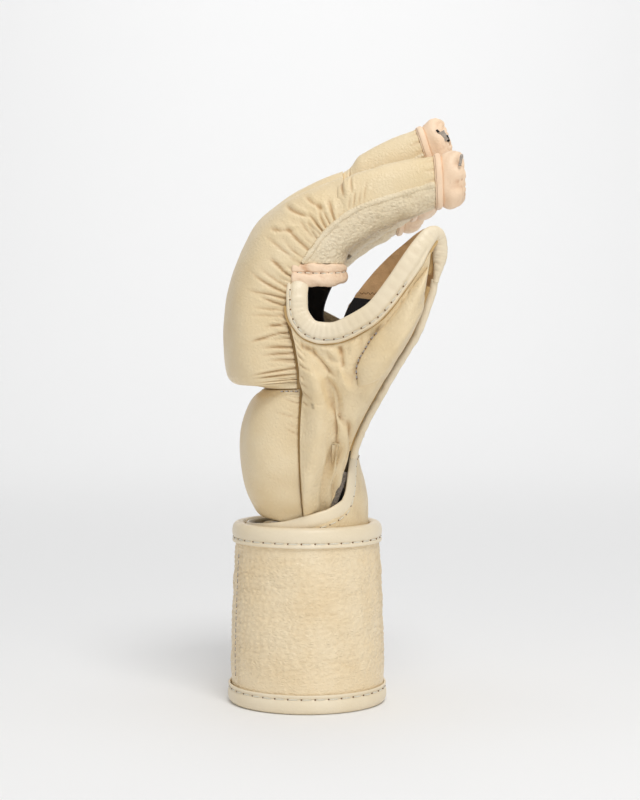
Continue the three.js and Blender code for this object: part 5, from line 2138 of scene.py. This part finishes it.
@dataclass
class HemMouths:
    """What shows in the mouths of the front hems: a folded end of tape, and black cloth as painted shade in
    the hole.
    """

    finishes: Finishes

    def build(self) -> None:
        """Builds the tape's fold and the dark slits of painted shade."""
        tape = (Slot.TAPE, self.finishes.tape)
        painted_shade = (Slot.LINING, self.finishes.lining)
        self.tab("hem_tape_fold", (63.4, -20.4, 275.2), (66.0, -20.1, 271.0), 3.8, *tape)
        # Painted shade: the slit and the hole are black cloth where the hem's mouth lies in shade.
        self.tab("hem_slit_middle", (66.2, -20.0, 273.6), (67.6, -19.6, 270.8), 1.5, *painted_shade)
        self.tab("hem_hole_middle", (61.6, -20.3, 276.2), (62.6, -20.4, 275.0), 1.2, *painted_shade)
        self.tab("hem_tape_index", (72.0, -42.3, 262.6), (71.0, -42.8, 257.4), 1.3, *tape)

    def tab(
        self,
        name: str,
        start: tuple[float, float, float],
        end: tuple[float, float, float],
        width: float,
        slot: Slot,
        material: bpy.types.Material,
    ) -> None:
        """Builds one flat fold between two places."""
        a, b = np.array(start), np.array(end)
        bead = Sweep(lambda v: mix(a, b, v[..., None]), towards_thumb, oval(width, 1.6))
        Piece(name, slot, material).finish(bead.mesh((14, 16), lambda u, v, p: 0.1 * waves(p, 2.5, 181)))


@dataclass
class BaseHem:
    """The hem of the first finger's sleeve at the palm."""

    finishes: Finishes

    def build(self) -> None:
        """Builds the hem and its stitches."""
        finger = Finger(FINGERS[0], self.finishes)
        zero = np.array(0.0)
        seam = finger.row(zero)["seam"]
        profile = Table(
            "down swell",
            [
                [-0.02, -1.2],
                [-0.04, 0.2],
                [0.1, 1.0],
                [0.3, 1.1],
                [0.36, 0.6],
                [0.45, 1.2],
                [0.7, 1.7],
                [0.9, 1.2],
                [1.02, 0.0],
                [0.95, -1.4],
                [0.5, -1.8],
                [0.1, -1.8],
                [-0.02, -1.2],
            ],
        )

        def skin(u: Array, v: Array) -> Array:
            """The hem's face round the sleeve's base."""
            r = profile.at(v)
            p = finger.arc(np.zeros_like(u), mix(-0.04, 1.04, u), False, 0.0, 0.0)
            out = p - seam
            out = out / np.maximum(np.linalg.norm(out, axis=-1, keepdims=True), 1e-6)
            droop = 1.6 * np.sin(math.pi * np.clip(u, 0, 1) * 2.2 + 0.5) * r["down"]
            tilt = points(0 * u, 0 * u, -FIT - 0.4 - r["down"] * BASE_HEM_WIDTH - droop)
            return p + out * (1.15 * r["swell"])[..., None] + tilt

        def relief(u: Array, v: Array, p: Array) -> Array:
            """Soft lumps and fine wrinkles."""
            return 0.3 * waves(p, 7, 141) - 0.2 * np.clip(1 - 2 * np.abs(waves(p, 3.5, 142)), 0, 1)

        bm = bmesh.new()
        lay_grid(bm, skin, (90, 50), heart_at(8, -20, 207), relief, 0.9)
        bmesh.ops.remove_doubles(bm, verts=bm.verts[:], dist=1e-5)
        rims = [edge for edge in bm.edges if edge.is_boundary]
        bmesh.ops.holes_fill(bm, edges=rims, sides=0)
        bmesh.ops.recalc_face_normals(bm, faces=bm.faces[:])
        Piece("base_hem_roll", Slot.HEM, self.finishes.hem, ("base_hem_index",)).finish(bm)

        StitchRow(
            "base_hem_stitches",
            lambda t: skin(mix(0.02, 0.6, t), 0.37 + 0 * t),
            towards_thumb,
            3.6,
            0.55,
            Slot.HEM,
            share=0.66,
        ).build(self.finishes.thread, self.finishes.hole)


@dataclass
class Seams:
    """Folded seam allowances that close the joints between the panels and show as warm brown lines of painted
    seam shade.
    """

    finishes: Finishes
    width: float = 3.6
    thickness: float = 1.8

    def build(self) -> None:
        """Builds the allowances."""
        for side, label in ((-1.0, "near"), (1.0, "far")):

            top = SPLIT_Z - (46 if side < 0 else 14)

            def seam(v: Array) -> Array:
                """The side seam's line, a little inside the leather."""
                return side_seam(mix(PANEL_BOTTOM_Z + 3, top, v), side) + points(-0.25, -2.2 * side, 0)

            self.strip(
                f"pad_seam_allowance_{label}",
                seam,
                lambda v: points(0 * v, side + 0 * v, 0 * v),
                self.width,
            )
        self.strip("pad_crease_allowance", self.crease, self.crease_out, 5.5)
        under = beside(opening_at, lambda t: -(OPENING_ROLL_WIDTH / 2 * roll_size(t)))
        self.strip(
            "opening_seam_allowance",
            lambda v: under(mix(0.1, 0.98, v)) + points(0, 1.4, 0),
            towards_thumb,
            2.4,
        )
        back = beside(back_at, lambda t: -(PIPING_WIDTH / 2 + 0.2))
        self.strip(
            "piping_seam_allowance",
            lambda v: back(mix(0.0, 0.6, v)) + points(0, 0.5, 0),
            towards_thumb,
            self.width,
        )

    def crease(self, v: Array) -> Array:
        """The line between the two pads, a little below their skins."""
        one = np.ones_like(v)
        low = dome(backhand_row(one), v, 0.86 + 0 * v, 3.4, 0 * v)
        high = dome(knuckle_row(0 * v), v, 0.86 + 0 * v, 3.4, 0 * v)
        return (low + high) / 2

    def crease_out(self, v: Array) -> Array:
        """The direction out of the crease."""
        p = self.crease(v)
        return points(p[..., 0] + 2, p[..., 1], 0 * v)

    def strip(self, name: str, path: Curve, outward: Curve, width: float) -> None:
        """Builds one allowance along a path."""
        bead = Sweep(path, outward, oval(width, self.thickness))
        # Painted shade: the allowance's darker brown stands for the shade inside the seam.
        Piece(name, Slot.CREAM, self.finishes.allowance).finish(bead.mesh((12, 120)))


@dataclass
class Studio:
    """The plain pale floor and backdrop, soft lights and the photograph's camera.

    Places are in millimetres.
    """

    camera_place: tuple[float, float, float] = (6.3, -900.0, 185.0)
    pitch: float = 2.41
    focal_pixels: float = 1845.0
    sensor: float = 36.0
    picture_height: float = 800.0

    def build(self) -> None:
        """Builds the studio."""
        self.view()
        self.backdrop()
        self.lights()

    def view(self) -> None:
        """Places the camera."""
        made = bpy.data.cameras.new("camera")
        made.sensor_width = self.sensor
        made.sensor_fit = "AUTO"
        made.lens = self.focal_pixels * self.sensor / self.picture_height
        made.clip_start = 0.05
        holder = bpy.data.objects.new("camera", made)
        holder.location = Vector(self.camera_place) * MM + OFFSET
        holder.rotation_euler = (math.radians(90 - self.pitch), 0.0, 0.0)
        bpy.context.scene.collection.objects.link(holder)
        bpy.context.scene.camera = holder

    def backdrop(self) -> None:
        """A seamless paper sweep: a floor that curves up behind the glove."""
        bm = bmesh.new()
        made = bmesh.ops.create_grid(bm, x_segments=2, y_segments=60, size=1.0)["verts"]
        for vert in made:
            x, t = vert.co.x * 6.0, (vert.co.y + 1) / 2
            floor = 3.4 * min(1.0, t / 0.5)
            bend = max(0.0, min(1.0, (t - 0.5) / 0.25)) * math.pi / 2
            wall = max(0.0, (t - 0.75) / 0.25) * 4.0
            vert.co = Vector((x, -2.0 + floor + 1.2 * math.sin(bend), 1.2 * (1 - math.cos(bend)) + wall))
        mesh = bpy.data.meshes.new("backdrop")
        bm.to_mesh(mesh)
        bm.free()
        mesh.polygons.foreach_set("use_smooth", [True] * len(mesh.polygons))
        paper = bpy.data.materials.new("matt_white_paper")
        paper.use_nodes = True
        tree = paper.node_tree
        tree.nodes.clear()
        shader = node(
            tree,
            "BsdfPrincipled",
            values={"Base Color": linear("#F4F4F4"), "Roughness": 0.9, "Specular IOR Level": 0.1},
        )
        node(tree, "OutputMaterial", links={"Surface": shader.outputs["BSDF"]})
        mesh.materials.append(paper)
        floor = bpy.data.objects.new("backdrop", mesh)
        bpy.context.scene.collection.objects.link(floor)

    def lights(self) -> None:
        """Large soft boxes in a white room."""
        world = bpy.data.worlds.new("white_room")
        world.use_nodes = True
        world.node_tree.nodes["Background"].inputs["Color"].default_value = (1.0, 1.0, 1.0, 1.0)
        world.node_tree.nodes["Background"].inputs["Strength"].default_value = 0.47
        bpy.context.scene.world = world
        # name, place in metres, size, power in watts
        boxes = [
            ("key", (0.35, -1.1, 1.8), 0.75, 16.5),
            ("fill", (0.5, -1.4, 0.25), 0.8, 2.6),
            ("top", (0.1, 0.1, 1.8), 1.2, 5.5),
            ("back", (0.0, 1.6, 1.6), 1.6, 9.8),
        ]
        aim = Vector((0.0, 0.0, 0.15))
        for name, place, size, power in boxes:
            lamp = bpy.data.lights.new(name, "AREA")
            lamp.size = size
            lamp.energy = power
            holder = bpy.data.objects.new(name, lamp)
            holder.location = place
            target = aim if name != "back" else Vector((0.0, 3.0, 0.4))
            holder.rotation_euler = (target - holder.location).to_track_quat("-Z", "Y").to_euler()
            bpy.context.scene.collection.objects.link(holder)
        bpy.context.scene.view_settings.view_transform = "Standard"


def main() -> None:
    """Builds the studio and the glove."""
    Studio().build()
    finishes = Finishes()
    HandPads(finishes).build()
    ThumbPocket(finishes).build()
    Palm(finishes).build()
    for plan in FINGERS:
        Finger(plan, finishes).build()
    BaseHem(finishes).build()
    HemMouths(finishes).build()
    Seams(finishes).build()
    Cuff(finishes).build()


if __name__ == "__main__":
    main()
